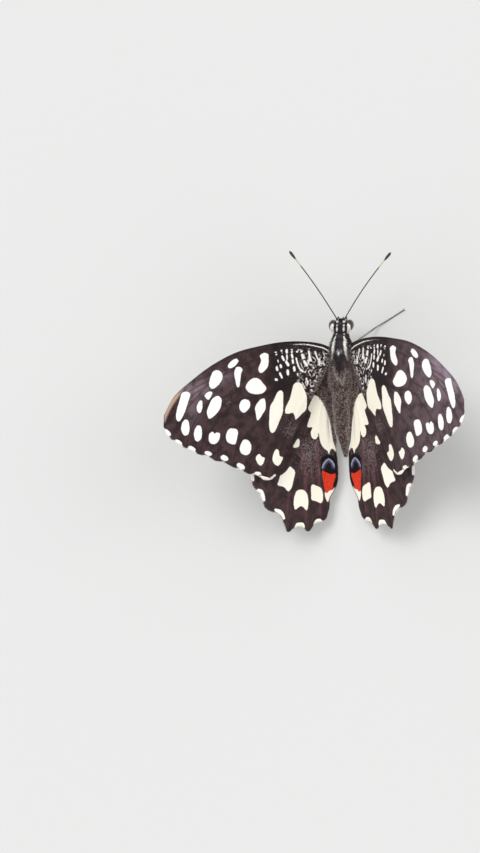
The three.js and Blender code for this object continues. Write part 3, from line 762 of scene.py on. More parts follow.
hindwingMarks = {
    "outlines": [
        # pale patch beside the abdomen, notched between the veins
        [(1.45, -10.1), (0.7, -11.6), (-0.1, -13.3), (-0.6, -14.9), (-0.85, -17), (-1.1, -19.2),
         (-1.6, -20.4), (-1.7, -21.5), (-1.05, -20.8), (-0.5, -20.6), (-0.1, -20.95), (0.2, -21.75),
         (0.55, -20.95), (1.3, -20.4), (2, -19.5), (2.4, -18.2), (2.55, -16.9), (2.8, -17.7),
         (3.2, -18.25), (3.9, -18.2), (4.4, -17.5), (4.4, -16.5), (4.05, -15.75), (5.2, -15.6),
         (5.1, -14.8), (4.6, -13.6), (4.25, -12.6), (4.8, -12), (4.9, -10.6), (4.4, -9.6), (3.5, -8.9),
         (2.5, -9.15)],
        # spots beyond the disc
        [(7.35, -18), (7.75, -17.95), (8.4, -18.7), (8.95, -19.6), (8.1, -19.8), (7.45, -19.5),
         (7.25, -18.6)],
        [(8.7, -24.9), (9.3, -24.1), (9.95, -23.7), (11.1, -24.8), (12.35, -25.45), (12.75, -26.4),
         (13.1, -27.4), (11.6, -27.9), (10.95, -28.6), (10.45, -28.9), (9.75, -28.2), (9.1, -26.4)],
        [(5.85, -31), (6.1, -29.7), (6.9, -28.9), (8.3, -28.85), (9, -29.7), (9.4, -31.1), (9.35, -32.5),
         (9, -32.95), (8.3, -32.5), (7.6, -32.3), (7, -32.7), (6.35, -33.3), (5.95, -32.3)],
        [(2.2, -30), (2.6, -28.8), (3.55, -28.3), (4.55, -27.9), (5, -28.35), (5.1, -30), (5.05, -31.15),
         (3.95, -31.5), (2.95, -32), (2.45, -31.8), (2.25, -31.1)],
        [(-1.2, -28.5), (-0.35, -29.3), (0.5, -29.5), (1, -29.85), (1.4, -29.9), (1.75, -29.8),
         (1.65, -30.9), (1.1, -31.9), (0.5, -31), (-0.1, -30.2), (-0.8, -29.5)],
    ],
    "strokes": [
        ([(19.1, -24.1), (19.1, -25), (18.95, -25.9)], [0.3, 0.45, 0.3]),
        ([(17.8, -28.1), (17.1, -28.45), (16.75, -29.2), (16.45, -30.3)], [0.28, 0.42, 0.42, 0.28]),
        ([(13.9, -32.6), (13, -33), (12.3, -33.7), (11.95, -34.6)], [0.28, 0.45, 0.42, 0.25]),
        ([(7.2, -36.7), (7.5, -36.2), (8.2, -36.1), (8.9, -36.2), (9.2, -36.7)],
         [0.24, 0.36, 0.36, 0.24]),
        ([(2.8, -36), (3.3, -35.65), (4, -35.7), (4.6, -36.2)], [0.2, 0.32, 0.32, 0.2]),
    ],
    "red": [
        (-1.05, -25.9), (-0.2, -26.05), (0.8, -25.7), (1.65, -25.25), (2.15, -25.15), (2.1, -26.2),
        (2.03, -27.1), (1.85, -28.4), (1.7, -29.6), (1.35, -29.95), (1, -29.8), (0.45, -29.45),
        (-0.35, -29.25), (-0.4, -28.3), (-0.8, -27.5), (-1.15, -26.7)
    ],
    # eyespot over the red: a lavender arch that darkens inward, on black
    "arch": [
        (-1.12, -24.8), (-0.85, -23.6), (-0.25, -22.95), (0.35, -22.55), (1.1, -22.95), (1.9, -23.8),
        (2.2, -24.95), (1.7, -25.25), (0.8, -25.65), (-0.18, -26), (-1, -25.8)
    ],
    # black along the inner margin beside the eyespot
    "border": ([(-1.4, -21.6), (-1.7, -23.5), (-1.75, -26.2), (-1.3, -27.6), (-0.75, -28.7)],
               [0.2, 0.5, 0.55, 0.5, 0.3]),
    "seams": [
        ([(2.1, -10.6), (2.8, -13.4), (2.75, -16.4)], [0.04, 0.06, 0.08]),
        ([(2.95, -13.9), (3.4, -14.8), (4.1, -15.5)], [0.07, 0.1, 0.07]),
        ([(2.7, -10.6), (3.6, -12), (4.2, -12.6)], [0.03, 0.04, 0.04]),
    ],
    "rust": [
        ([(3.3, -19.2), (3.05, -24), (3, -29), (3, -34.5)], [0.38, 0.3, 0.2, 0.12]),
        ([(5, -21.5), (4.75, -25), (4.65, -28.6)], [0.12, 0.25, 0.1]),
        ([(6.7, -20.5), (6.35, -25), (6.4, -30), (6.7, -36)], [0.2, 0.3, 0.2, 0.14]),
        ([(10.4, -29.3), (11.2, -33.5)], [0.1, 0.16]),
    ],
    # black band under the wing, with orange and blue between its veins
    "underBand": ([(1, -24.6), (3.9, -23.8), (6.3, -24), (8.8, -23.2), (11.5, -21), (14, -17), (15, -11),
                   (14, -6.5)],
                  [1.5, 1.9, 2.1, 2.1, 1.9, 1.7, 1.4, 0.9]),
    "middle": (4, -12),
    "underPale": [
        ((15.5, -22.6), 2.6, 1.7, 50), ((16.7, -17.5), 2.6, 1.6, 70), ((4.6, -11), 9.5, 7.5, -60)
    ],
}


def forewingFields(a, b, side, upper):
    grow = 0.0 if upper else 0.38
    pale = deepest(a, b, forewingMarks["outlines"], forewingMarks["strokes"], forewingMarks["ovals"]) + grow
    if not upper:
        pale = np.maximum(pale, deepest(a, b, strokes=forewingMarks["underStrokes"]))
    root = smooth(7.6, 5.4, a + 0.25 * b) * smooth(0.6, -0.6, b) * smooth(-10, -7, b)
    dashes = deepest(a, b, strokes=[*forewingMarks["dashes"], forewingMarks["costal"]])
    absent = np.full(len(a), -1.0)
    # rim: the pale tan rim on the left, painted sheen along the right costa
    rim = smooth(-0.4, 0.2, strokeDepth(a, b, forewingMarks["rim"][side]))
    return {
        "pale": pale, "dashes": dashes if upper else absent,
        "tan": (0.75 if side == "left" else 0.5) * rim,
        "marble": root * (1.0 if upper else 0.3), "soot": smooth(18, 13, a) * smooth(-8.5, -6, b + 0.1 * a),
        "dust": 0.3 * blob(a, b, (10.3, -15.8), (2, 1.6)) + 0.16 * blob(a, b, (24.4, -6.1), (0.9, 0.8))
        + 0.16 * blob(a, b, (25.7, -9.2), (0.9, 1.1)) + 0.1 * smooth(15, 5, a) * smooth(-8, -4, b),
        # painted sheen: lighter purplish grey painted on patches near the left apex and over the right
        # forewing, strongest towards its apex
        "bright": 0.02 + 0.62 * blob(a, b, (33, -6), (3.6, 2)) + 0.3 * blob(a, b, (34.3, -10), (1.6, 3))
        + 0.34 * blob(a, b, (26.2, -3.9), (2.4, 1.6)) if side == "left"
        else 0.03 + 0.22 * smooth(9, 30, a) + 0.38 * smooth(24, 34, a) * smooth(-13, -6, b),
        "warmth": smooth(24, 8, a + 0.4 * b + 4), "glow": np.zeros_like(a),
        "rust": (a > 20) * (0.0 if upper else 1.0),
        "red": absent if upper else ovalDepth(a, b, forewingMarks["underRed"]),
        "blue": absent, "ink": absent,
        "grizzle": smooth(0.8, -0.8, a - np.interp(b, (-9.5, -6, -3, 1), (4.2, 3, 0.6, -0.6))),
    }


def hindwingFields(a, b, side, upper):
    grow = 0.0 if upper else 0.38
    pale = deepest(a, b, hindwingMarks["outlines"], hindwingMarks["strokes"]) + grow
    red = outlineDepth(a, b, hindwingMarks["red"])
    blue = outlineDepth(a, b, hindwingMarks["arch"])
    ink = np.maximum(np.maximum(blue + 0.3, ovalDepth(a, b, ((0.4, -23.2), 3.9, 2.6, 8))),
                     strokeDepth(a, b, hindwingMarks["border"]))
    ink = np.where(b > -29, ink, -1.0)
    rim = lineDistance(a, b, curveThrough(hindwingMarks["arch"][:7], steps=5))[0]
    inner = np.interp(b, (-21, -19.2, -17, -14.8, -13, -10.6, -9, -5),
                      (-2, -1.4, -1.1, -0.8, -0.2, 1.1, 2.2, 3))
    fields = {
        "pale": pale, "red": red, "blue": blue, "ink": ink,
        "dashes": np.full(len(a), -1.0), "marble": np.zeros_like(a),
        "tan": smooth(-0.1, 0.1, deepest(a, b, strokes=hindwingMarks["seams"])) * (0.6 if upper else 0.0),
        "dust": 0.3 * blob(a, b, (5.3, -21), (2.5, 2.7)) + 0.12 * smooth(8.5, 6, a) * smooth(-28, -25, b)
        * smooth(-17, -19, b) + 0.02 * smooth(12, 4, a),
        # painted sheen, a little lighter towards the outer edge
        "bright": 0.02 + 0.05 * smooth(11, 19, a),
        "warmth": smooth(20, 6, a), "glow": np.clip(1.2 - rim / 0.85, 0, 1) * smooth(-25.4, -24.2, b),
        "soot": 0.5 * blob(a, b, (0.3, -24), (2.4, 3.2)),
        "rust": smooth(-0.4, 0.25, deepest(a, b, strokes=hindwingMarks["rust"])) * 0.6,
        "grizzle": smooth(0.5, -0.6, a - inner),
    }
    if not upper:
        band = strokeDepth(a, b, hindwingMarks["underBand"])
        fields["pale"] = np.maximum(pale, deepest(a, b, ovals=hindwingMarks["underPale"]) + 0.4)
        fields["pale"] = np.where(band > -0.3, np.minimum(fields["pale"], -band), fields["pale"])
        # the half towards the wing's middle is orange, the outer half blue
        path = curveThrough(hindwingMarks["underBand"][0], steps=6)
        towards = (np.array(hindwingMarks["middle"]) - path) * 0.12
        outward = lineDistance(a, b, path + towards)[0] - lineDistance(a, b, path - towards)[0]
        cellWise = np.minimum(band - 0.25, veinRelief(a, b, hindwingVeins) - 0.4)
        fields["blue"] = np.maximum(blue, np.minimum(cellWise, outward * 0.4 - 0.05))
        fields["red"] = np.maximum(red, np.minimum(cellWise, -outward * 0.4 - 0.25))
        fields["ink"] = np.maximum(band, ink)
        fields["rust"] = 1.0 * (band > -1)
        fields["glow"] = np.full(len(a), 0.7)
    return fields


fieldNames = ("pale", "dashes", "tan", "red", "blue", "glow", "ink", "soot", "nerve", "marble", "dust",
              "bright", "warmth", "rust", "grizzle")


# finishes of the wings and of hair

def wingFinish():
    finish, tree, shader = newFinish("wingScales")
    plan = read(tree, "wingPlan", "Vector")
    grain = cells(tree, plan, 8.5)
    chance = addNode(tree, "ShaderNodeSeparateColor", {0: grain.node.outputs["Color"]})
    broad, fine = noise(tree, plan, 0.55, 3), noise(tree, plan, 3.2, 3, 0.6)
    ragged = calc(tree, "ADD", times(tree, calc(tree, "SUBTRACT", fine, 0.5), 0.22),
                  times(tree, calc(tree, "SUBTRACT", chance, 0.5), 0.08))

    def inside(name):
        return step(tree, -0.05, 0.07, calc(tree, "ADD", read(tree, name), ragged))

    dark = mix(tree, step(tree, 0.35, 0.68, broad), tone(40, 27, 28), tone(66, 47, 48))
    # painted highlight: folds that fan out from the wing's root catch the light, painted as lighter streaks
    fromRoot = vectorCalc(tree, "ADD", plan, (3.0, -2.0, 0.0))
    parts = addNode(tree, "ShaderNodeSeparateXYZ", {0: fromRoot}).node.outputs
    heading = calc(tree, "ARCTAN2", parts[1], parts[0])
    reach = vectorCalc(tree, "LENGTH", fromRoot).node.outputs["Value"]
    fan = addNode(tree, "ShaderNodeCombineXYZ", {0: times(tree, heading, 22.0),
                                                 1: times(tree, reach, 0.16)})
    foldHighlight = noise(tree, fan, 1.3, 2)
    speck = step(tree, 0.0, -0.05, calc(tree, "SUBTRACT", chance, read(tree, "dust")))
    # wandering pale hooks over near black at the forewing's root
    ridge = calc(tree, "ABSOLUTE", calc(tree, "SUBTRACT", noise(tree, plan, 0.85, 1), 0.5))
    hooks = times(tree, step(tree, 0.07, 0.04, ridge), step(tree, 0.38, 0.46, noise(tree, plan, 1.3, 1)))
    hookTone = mix(tree, step(tree, 0.42, 0.6, noise(tree, plan, 1.1, 1)), tone(150, 138, 134),
                   tone(242, 236, 234))
    # tone of the tan field: tan on the left apex rim and the hindwing seams, lavender where the tan field
    # carries painted sheen on the right costa
    tanAndSheenTone = mix(tree, step(tree, 0.1, 0.4, read(tree, "bright")), tone(206, 172, 148), tone(158, 140, 160))
    # from the ground up: what shows, how strongly, and its tone
    for share, strength, color in (
            (read(tree, "warmth"), 0.3, tone(50, 34, 31)),
            # painted highlight along the folds
            (step(tree, 0.45, 0.7, foldHighlight), 0.25, tone(92, 68, 72)),
            # painted sheen, patchy
            (read(tree, "bright"), step(tree, 0.1, 0.62, broad), tone(160, 138, 148)),
            (read(tree, "nerve"), 0.6, tone(36, 26, 27)),
            (chance, 0.08, tone(96, 78, 80)),
            (read(tree, "soot"), 0.75, tone(26, 20, 20)),
            (read(tree, "rust"), 1.0, tone(106, 66, 72)),
            (speck, 0.62, tone(150, 138, 136)),
            (hooks, read(tree, "marble"), hookTone),
            (inside("dashes"), 1.0, tone(250, 244, 240)),
            # tan rim and seams, and painted sheen along the right costa
            (read(tree, "tan"), 1.0, tanAndSheenTone)):
        dark = mix(tree, times(tree, share, strength), dark, color)
    cream = mix(tree, read(tree, "warmth"), tone(255, 253, 250), tone(255, 249, 232))
    cream = mix(tree, times(tree, chance, 0.12), cream, tone(228, 212, 182))
    color = mix(tree, inside("pale"), dark, cream)
    black = tone(22, 17, 21)
    color = mix(tree, step(tree, -0.3, 0.2, calc(tree, "ADD", read(tree, "ink"), ragged)), color, black)
    glow = read(tree, "glow")
    blue = mix(tree, step(tree, 0.0, 0.6, glow), black, tone(74, 74, 104))
    blue = mix(tree, step(tree, 0.6, 1.0, glow), blue,
               mix(tree, chance, tone(140, 138, 166), tone(184, 180, 200)))
    color = mix(tree, inside("blue"), color, blue)
    scarlet = mix(tree, chance, tone(200, 36, 24), tone(232, 74, 44))
    ochre = mix(tree, chance, tone(206, 110, 44), tone(226, 140, 66))
    color = mix(tree, inside("red"), color, mix(tree, read(tree, "rust"), scarlet, ochre))
    speckle = mix(tree, step(tree, 0.46, 0.58, noise(tree, plan, 2.8, 1)), tone(54, 45, 44),
                  tone(196, 184, 178))
    color = mix(tree, times(tree, read(tree, "grizzle"), 0.9), color, speckle)
    setShader(tree, shader, color, {"Roughness": 0.62, "Specular IOR Level": 0.14,
                                    "Sheen Weight": 0.05, "Sheen Roughness": 0.4})
    rise = calc(tree, "ADD", times(tree, grain, -0.7), times(tree, fine, 0.5))
    bump(tree, shader, rise, 0.5, 0.03 * mm)
    return finish


# hair takes its markings from the surface it grows on: cream, dusk (dark), rest grizzled
def hairFinish():
    finish, tree, shader = newFinish("bodyHair")
    chance = read(tree, "tone")
    clump = step(tree, 0.45, 0.58, noise(tree, objectPlace(tree), 2500, 1))
    color = mix(tree, chance, tone(64, 50, 48), tone(102, 83, 79))
    color = mix(tree, clump, color, mix(tree, chance, tone(130, 107, 102), tone(204, 180, 172)))
    color = mix(tree, read(tree, "dusk"), color, mix(tree, chance, tone(24, 17, 23), tone(56, 44, 54)))
    color = mix(tree, read(tree, "cream"), color, mix(tree, chance, tone(255, 249, 236), tone(255, 255, 252)))
    setShader(tree, shader, color, {"Roughness": 0.55, "Specular IOR Level": 0.35})
    return finish


def skinFinish():
    finish, tree, shader = newFinish("bodySkin")
    place = objectPlace(tree)
    patchy = noise(tree, place, 1400, 3)
    color = mix(tree, patchy, tone(66, 56, 54), tone(104, 92, 88))
    color = mix(tree, read(tree, "dusk"), color, tone(30, 24, 28))
    color = mix(tree, read(tree, "cream"), color, tone(255, 250, 238))
    setShader(tree, shader, color, {"Roughness": 0.6})
    bump(tree, shader, noise(tree, place, 9000, 2), 0.5, 0.03 * mm)
    return finish


# chitin of legs, feelers and tongue; banded runs 0 to 1 between the dark and the pale tone
def chitinFinish(name, dark, pale, roughness):
    finish, tree, shader = newFinish(name)
    place = objectPlace(tree)
    color = mix(tree, read(tree, "banded"), tone(*dark), tone(*pale))
    color = mix(tree, times(tree, noise(tree, place, 5200, 2), 0.35), color, tone(*dark))
    setShader(tree, shader, color, {"Roughness": roughness})
    bump(tree, shader, noise(tree, place, 14000, 2), 0.4, 0.02 * mm)
    return finish


def eyeFinish():
    finish, tree, shader = newFinish("compoundEye")
    place = objectPlace(tree)
    facets = cells(tree, place, eye["facetsPerMm"] / mm, 0.35, flat=False)
    color = mix(tree, noise(tree, place, 700, 2), tone(14, 12, 10), tone(38, 31, 24))
    color = mix(tree, read(tree, "rimmed"), color, tone(96, 84, 62))
    setShader(tree, shader, color, {"Roughness": 0.22, "Coat Weight": 0.6, "Coat Roughness": 0.1})
    bump(tree, shader, times(tree, facets, -1.0), 0.6, 0.03 * mm)
    return finish


finishes = {
    "wing": wingFinish(), "hair": hairFinish(), "skin": skinFinish(), "eye": eyeFinish(),
    "leg": chitinFinish("legChitin", (42, 34, 30), (196, 180, 142), 0.45),
    "feeler": chitinFinish("feelerChitin", (26, 21, 20), (206, 180, 130), 0.4),
    "tongue": chitinFinish("tongueChitin", (30, 24, 20), (96, 74, 52), 0.35),
}
print("trees and finishes ready")


# wings built

nudge = 0.05   # mm, a small step that tells which way a hair lies
nerveWidth = 0.17   # mm, of the dark line along a vein

forewing.update({"height": forewingHeight, "veins": forewingVeins, "fields": forewingFields})
hindwing.update({"height": hindwingHeight, "veins": hindwingVeins, "fields": hindwingFields})
wingHair = {"perSquareMm": 95, "length": 1.1, "width": 0.055, "lift": 0.22, "spread": 0.28}
fringe = {"perSquareMm": 900, "length": 0.3, "width": 0.08, "lift": 0.0, "spread": 0.12,
          "inner": {"left": 3.4, "right": 1.9}}


# direction in the model of a heading on the wing
def wingSteps(wing, side, a, b, da, db):
    return unit(onWing(wing, side, a + da * nudge, b + db * nudge) - onWing(wing, side, a, b))


def bakePlace(wing, a, b, upper):
    place = wing["place"]
    shift = (0, 0) if upper else place["underShift"]
    return np.stack([(a - place["corner"][0]) / place["scale"] + shift[0],
                     (b - place["corner"][1]) / place["scale"] + shift[1]], -1)


# the fields of a wing, with dark lines along its veins
def wingFields(wing, side, a, b, upper):
    fields = wing["fields"](leaned(side, a, b), b, side, upper)
    fields["nerve"] = bell(veinRelief(a, b, wing["veins"]), 0, nerveWidth)
    return fields


def wingPiece(name, wing, side):
    plan = wingPlan(wing, side)
    rows, columns = plan.shape[:2]
    a, b = plan[..., 0].ravel(), plan[..., 1].ravel()
    leaning = leaned(side, a, b)
    pleats = bell(veinRelief(a, b, wing["veins"]), 0, sheet["pleatWidth"]) - sheet["level"]
    edge = np.tile(np.minimum(np.arange(columns), np.arange(columns)[::-1]), (rows, 1))
    edge[-1] = 0
    edge = edge.ravel()
    half = sheet["rim"] + (sheet["half"] - sheet["rim"]) * np.clip(edge / sheet["rimSteps"], 0, 1)
    relief = sheet["pleat"] * pleats * np.clip(edge / sheet["pleatSteps"], 0, 1)
    points = [onWing(wing, side, a, b, relief + s * half) for s in (1, -1)]
    top = gridFaces(rows, columns)
    faces = [top, top[:, ::-1] + len(a)]
    rim = np.concatenate([np.arange(rows) * columns, (rows - 1) * columns + np.arange(1, columns),
                          (np.arange(rows)[::-1] * columns + columns - 1)[1:],
                          np.arange(1, columns - 1)[::-1]])
    after = np.roll(rim, -1)
    faces.append(np.stack([after, rim, rim + len(a), after + len(a)], -1))
    up, down = wingFields(wing, side, a, b, True), wingFields(wing, side, a, b, False)
    values = {key: np.concatenate([up[key], down[key]]) for key in fieldNames}
    hairs = up["grizzle"] * smooth(-0.2, 0.1, a + (2.4 if wing is hindwing else 0.4))
    if wing is forewing:
        hairs = hairs * (0.2 + 0.8 * smooth(-3, -7, b))
    # hair leans out from the wing's root, and inward along the hindwing's inner edge
    turned = smooth(-6, -10, b) * (wing is hindwing)
    lie = wingSteps(wing, side, a, b, 0.75 - 1.05 * turned, -0.65 - 0.25 * turned)
    away = np.concatenate([bakePlace(wing, a, b, True), bakePlace(wing, a, b, False)])
    values.update({
        "hairs": np.concatenate([hairs, hairs * 0.6]), "coatLie": np.concatenate([lie, lie]),
        "coatLength": np.tile(0.5 + 0.5 * smooth(3, 0, a), 2), "coatPlace": np.c_[away, np.zeros(len(away))],
        "cream": np.concatenate([smooth(-0.1, 0.3, up["pale"]), smooth(-0.1, 0.3, down["pale"])]),
        "dusk": np.tile(0.2 + 0.5 * smooth(-6, -2, b) * (wing is forewing), 2),
        "wingPlan": np.tile(np.c_[leaning, b, np.zeros(len(a))], (2, 1))})
    piece = meshPiece(name, np.concatenate(points), np.concatenate(faces), values, finishes["wing"])
    faceOut(piece)
    addUv(piece.data, "OFBake", away[[loop.vertex_index for loop in piece.data.loops]])
    return piece


# a narrow band along the rear edge that the fringe grows from
def fringeBand(name, wing, side):
    plan = wingPlan(wing, side)
    rootRows, marginRows = wing["rows"]
    first, second = plan[:, 0], plan[:, 0] + (plan[:, 1] - plan[:, 0]) * 0.3
    tangent = np.gradient(first, axis=0)
    outward = unit(np.stack([tangent[:, 1], -tangent[:, 0]], -1))
    outward *= np.sign(((first - plan[:, -1]) * outward).sum(1))[:, None]
    rows = len(first)
    a, b = np.concatenate([first, second]).T
    points = onWing(wing, side, a, b)
    lie = wingSteps(wing, side, a, b, np.tile(outward[:, 0], 2), np.tile(outward[:, 1], 2))
    # a mark that meets the margin runs on into the fringe
    pale = smooth(-0.3, -0.05, wingFields(wing, side, *first.T, True)["pale"])
    pale[:rootRows] = 0
    share = np.arange(rootRows) / rootRows
    # the hindwing's inner margin carries long hair that closes the gap to the abdomen
    inner = smooth(-0.04, 0.04, share) * smooth(0.46, 0.32, share) * (wing is hindwing)
    grows = np.concatenate([smooth(0.25, 0.45, share) + 3.5 * inner, np.ones(marginRows)])
    long = np.concatenate([0.6 + fringe["inner"][side] * inner, np.full(marginRows, 0.9)])
    outward[:rootRows, 1] -= 0.3 * inner
    place = bakePlace(wing, a, b, True)
    i = np.arange(rows - 1)
    faces = np.stack([i, i + 1, i + 1 + rows, i + rows], -1)
    values = {"fringed": np.tile(grows, 2), "coatLie": lie, "coatLength": np.tile(long, 2),
              "coatPlace": np.c_[place, np.zeros(len(place))], "cream": np.tile(pale, 2),
              "dusk": np.tile(np.concatenate([0.9 - 0.85 * inner, np.full(marginRows, 0.9)]), 2)}
    return meshPiece(name, points, faces, values)


for number, side in enumerate(sides):
    for kind, wing in (("forewing", forewing), ("hindwing", hindwing)):
        name = f"{kind}_{side}"
        piece = wingPiece(name + "_scales", wing, side)
        join(piece, "wing_scales", name)
        hair = coat(name + "_hair", piece, "hairs", wingHair, 3 + number)
        join(hair, "body_hair")
        band = fringeBand(name + "_band", wing, side)
        edging = coat(name + "_fringe", band, "fringed", fringe, 7 + number)
        bpy.data.objects.remove(band)
        join(edging, "wing_scales")
        lines = []
        for line, radii in wing["veins"]:
            a, b = curveThrough(line, steps=8).T
            radius = np.interp(np.linspace(0, 1, len(a)), (0, 1), radii)
            lines.append({"points": onWing(wing, side, a, b, sheet["pleat"] * 0.5), "radius": radius * mm,
                          "wingPlan": np.c_[leaned(side, a, b), b, np.zeros(len(a))],
                          **wingFields(wing, side, a, b, True)})
        ribs = tubes(name + "_veins", lines, finishes["wing"], 8, ("wingPlan", *fieldNames))
        join(ribs, "wing_scales")
        print(name, "wing", len(piece.data.polygons), "hair", len(hair.data.polygons), "fringe",
              len(edging.data.polygons))


# body: one skin lofted along the trunk, y forward, with x, z, half width, rise and drop per station

trunk = [
    (-22.4, 0.72, -0.95, 0.3, 0.35, 0.35), (-21.9, 0.68, -0.95, 0.62, 0.7, 0.72),
    (-19.8, 0.45, -0.95, 1.08, 1.2, 1.25), (-16.7, 0.05, -0.9, 1.6, 1.75, 1.8),
    (-13, 0, -0.75, 1.95, 2.1, 2.2), (-10, 0, -0.6, 2.05, 2.2, 2.35),
    (-7.4, 0, -0.3, 1.9, 1.93, 2.2), (-5.6, 0, -0.1, 2.65, 2.85, 3.2), (-2.8, 0, 0, 2.85, 3.3, 3.6),
    (0, 0, 0, 2.7, 3.15, 3.35), (2.55, 0, 0, 2.12, 2.38, 2.33), (3.4, 0, 0, 2.05, 2.1, 2.05),
    (4.1, 0, -0.04, 1.95, 1.6, 1.56), (4.8, 0, -0.05, 1.95, 1.8, 1.75), (5.8, 0, -0.05, 1.72, 1.85, 1.85),
    (6.5, 0, -0.1, 1.38, 1.62, 1.75), (6.95, 0, -0.15, 0.98, 1.2, 1.4), (7.2, 0, -0.2, 0.42, 0.55, 0.65),
]
skin = {"rows": 270, "around": 96, "rings": (-9.6, -11.6, -13.6, -15.5, -17.3, -19, -20.6, -21.8)}
coatDepth = [(-22.8, 0.12), (-21, 0.26), (-8.5, 0.3), (-6.5, 0.5), (2, 0.5), (3.6, 0.42), (4.2, 0.25),
             (7.5, 0.14)]


def trunkSurface(y, angle):
    table = curveThrough(trunk, steps=16)
    x, z, width, rise, drop = (np.interp(y, table[:, 0], table[:, k]) for k in range(1, 6))
    depth = np.interp(y, *np.array(coatDepth).T)
    grooves = 0.14 * bell(y, 4.1, 0.16) + 0.1 * bell(y, 2.6, 0.18) + 0.14 * bell(y, -7.4, 0.25)
    grooves = grooves + sum(0.07 * bell(y, ring, 0.13) for ring in skin["rings"])
    # tegulae at the wing roots, and the sockets the eyes sit in
    side = np.sin(angle)
    bumps = 0.28 * bell(y, 1.0, 0.9) * bell(np.abs(angle), 1.05, 0.32)
    bumps = bumps + 0.12 * bell(y, 5.75, 1.2) * bell(np.abs(side), 1, 0.25)
    shrink = np.minimum(depth + grooves - bumps, 0.75 * width)
    height = np.where(np.cos(angle) > 0, rise, drop)
    return np.stack([x + (width - shrink) * side, y, z + (height - shrink) * np.cos(angle)], -1)


# markings of the back in trunk mm, x to the right of the midline
bodyMarks = {
    # rows of pale beads on the head: middle as (off the midline, y), then half sizes
    "beads": [((0.78, 6.72), (0.24, 0.38)), ((0.78, 5.8), (0.21, 0.15)), ((0.8, 5.02), (0.2, 0.42)),
              ((1.02, 4.02), (0.24, 0.17))],
    "stripes": {"left": [(-2, 1.7), (0, 1.55), (1.93, 1.48), (2.8, 1.38), (3.6, 1.2)],
                "right": [(-2, 1.95), (0, 1.45), (1.93, 1.22), (2.9, 1.26), (3.5, 0.98)]},
    "stripeHalf": [(-2, 0.1), (-0.5, 0.15), (0.5, 0.26), (2, 0.3), (3, 0.2), (3.5, 0.14)],
    "vee": [(-1.1, -2.6), (-0.6, -4.2), (0.3, -6.1), (0.9, -4.6), (1.2, -3.2)],
}


# markings by place: y along the trunk, angle from the back's midline
def trunkMarks(y, angle):
    table = np.array(trunk)
    width = np.interp(y, table[:, 0], table[:, 3])
    turned = np.abs(angle)
    off = width * np.where(turned < math.pi / 2, np.sin(turned), 1 + turned - math.pi / 2)
    x = np.sign(angle) * off
    line = np.where(x < 0, *(np.interp(y, *np.array(bodyMarks["stripes"][side]).T) for side in sides))
    half = np.interp(y, *np.array(bodyMarks["stripeHalf"]).T)
    cream = smooth(half + 0.08, half - 0.06, np.abs(off - line)) * smooth(-2.0, 0, y) * smooth(3.44, 3.36, y)
    for place, radii in bodyMarks["beads"]:
        bead = np.hypot((off - place[0]) / radii[0], (y - place[1]) / radii[1])
        cream = np.maximum(cream, smooth(1.25, 0.9, bead))
    # pale beside and under the eyes, under the belly and along its sides
    cream = np.maximum(cream, bell(turned, 2.0, 0.28) * smooth(4, 4.3, y) * smooth(6.6, 6, y))
    cream = np.maximum(cream, smooth(1.5, 1.64, off) * smooth(4.15, 4.3, y) * smooth(5.2, 4.9, y))
    cream = np.maximum(cream, smooth(2.15, 2.45, turned) * smooth(-22.2, -21.4, y) * 0.95)
    cream = np.maximum(cream, bell(turned, 1.72, 0.1) * smooth(-7.5, -8.5, y) * smooth(-22.3, -21, y) * 0.85)
    cream = np.maximum(cream, bell(angle, -1.3, 0.2) * smooth(-15, -16.5, y))
    cream = np.maximum(cream, smooth(1.3, 0.9, np.hypot((x + 0.1) / 0.17, y / 0.27)))
    cream = np.maximum(cream, 0.4 * smooth(1.4, 0.5, np.hypot((off - 0.4) / 0.24, (y - 0.35) / 0.3)))
    vee = lineDistance(x, y, curveThrough(bodyMarks["vee"], steps=5))[0]
    cream = np.maximum(cream, smooth(0.26, 0.05, vee) * (turned < 1.4) * 0.5)
    # painted light: the flanks are paler where they run into the wings, lifting the shade between body and
    # wings
    cream = np.maximum(cream, 0.16 * bell(turned, 1.25, 0.4) * smooth(2, 0, y))
    lines = sum(bell(turned, at, 0.07) for at in (1.95, 2.6)) * smooth(-7, -8.2, y)
    cream = cream * (1 - np.clip(lines, 0, 1))
    # dark between and beside the stripes, narrowing to a point down the back
    reach = np.interp(y, (-4.8, -3, -1.5, 0, 1.2), (0, 0.5, 0.9, 1.6, 2.8))
    dusk = 0.95 * smooth(0.3, -0.3, off - reach) * smooth(-4.8, -3.4, y) * smooth(2.4, 1.9, turned) + lines
    dusk = np.maximum(dusk, 0.6 * smooth(-4.5, -1.5, y) * smooth(2.4, 1.9, turned))
    dusk = np.maximum(dusk, smooth(3.9, 4.3, y) * 0.95 * smooth(2.6, 2.0, turned))
    dusk = dusk + 0.3 * smooth(1.1, 0.5, off) * smooth(-7, -10, y)
    return np.clip(cream, 0, 1), np.clip(dusk, 0, 1)


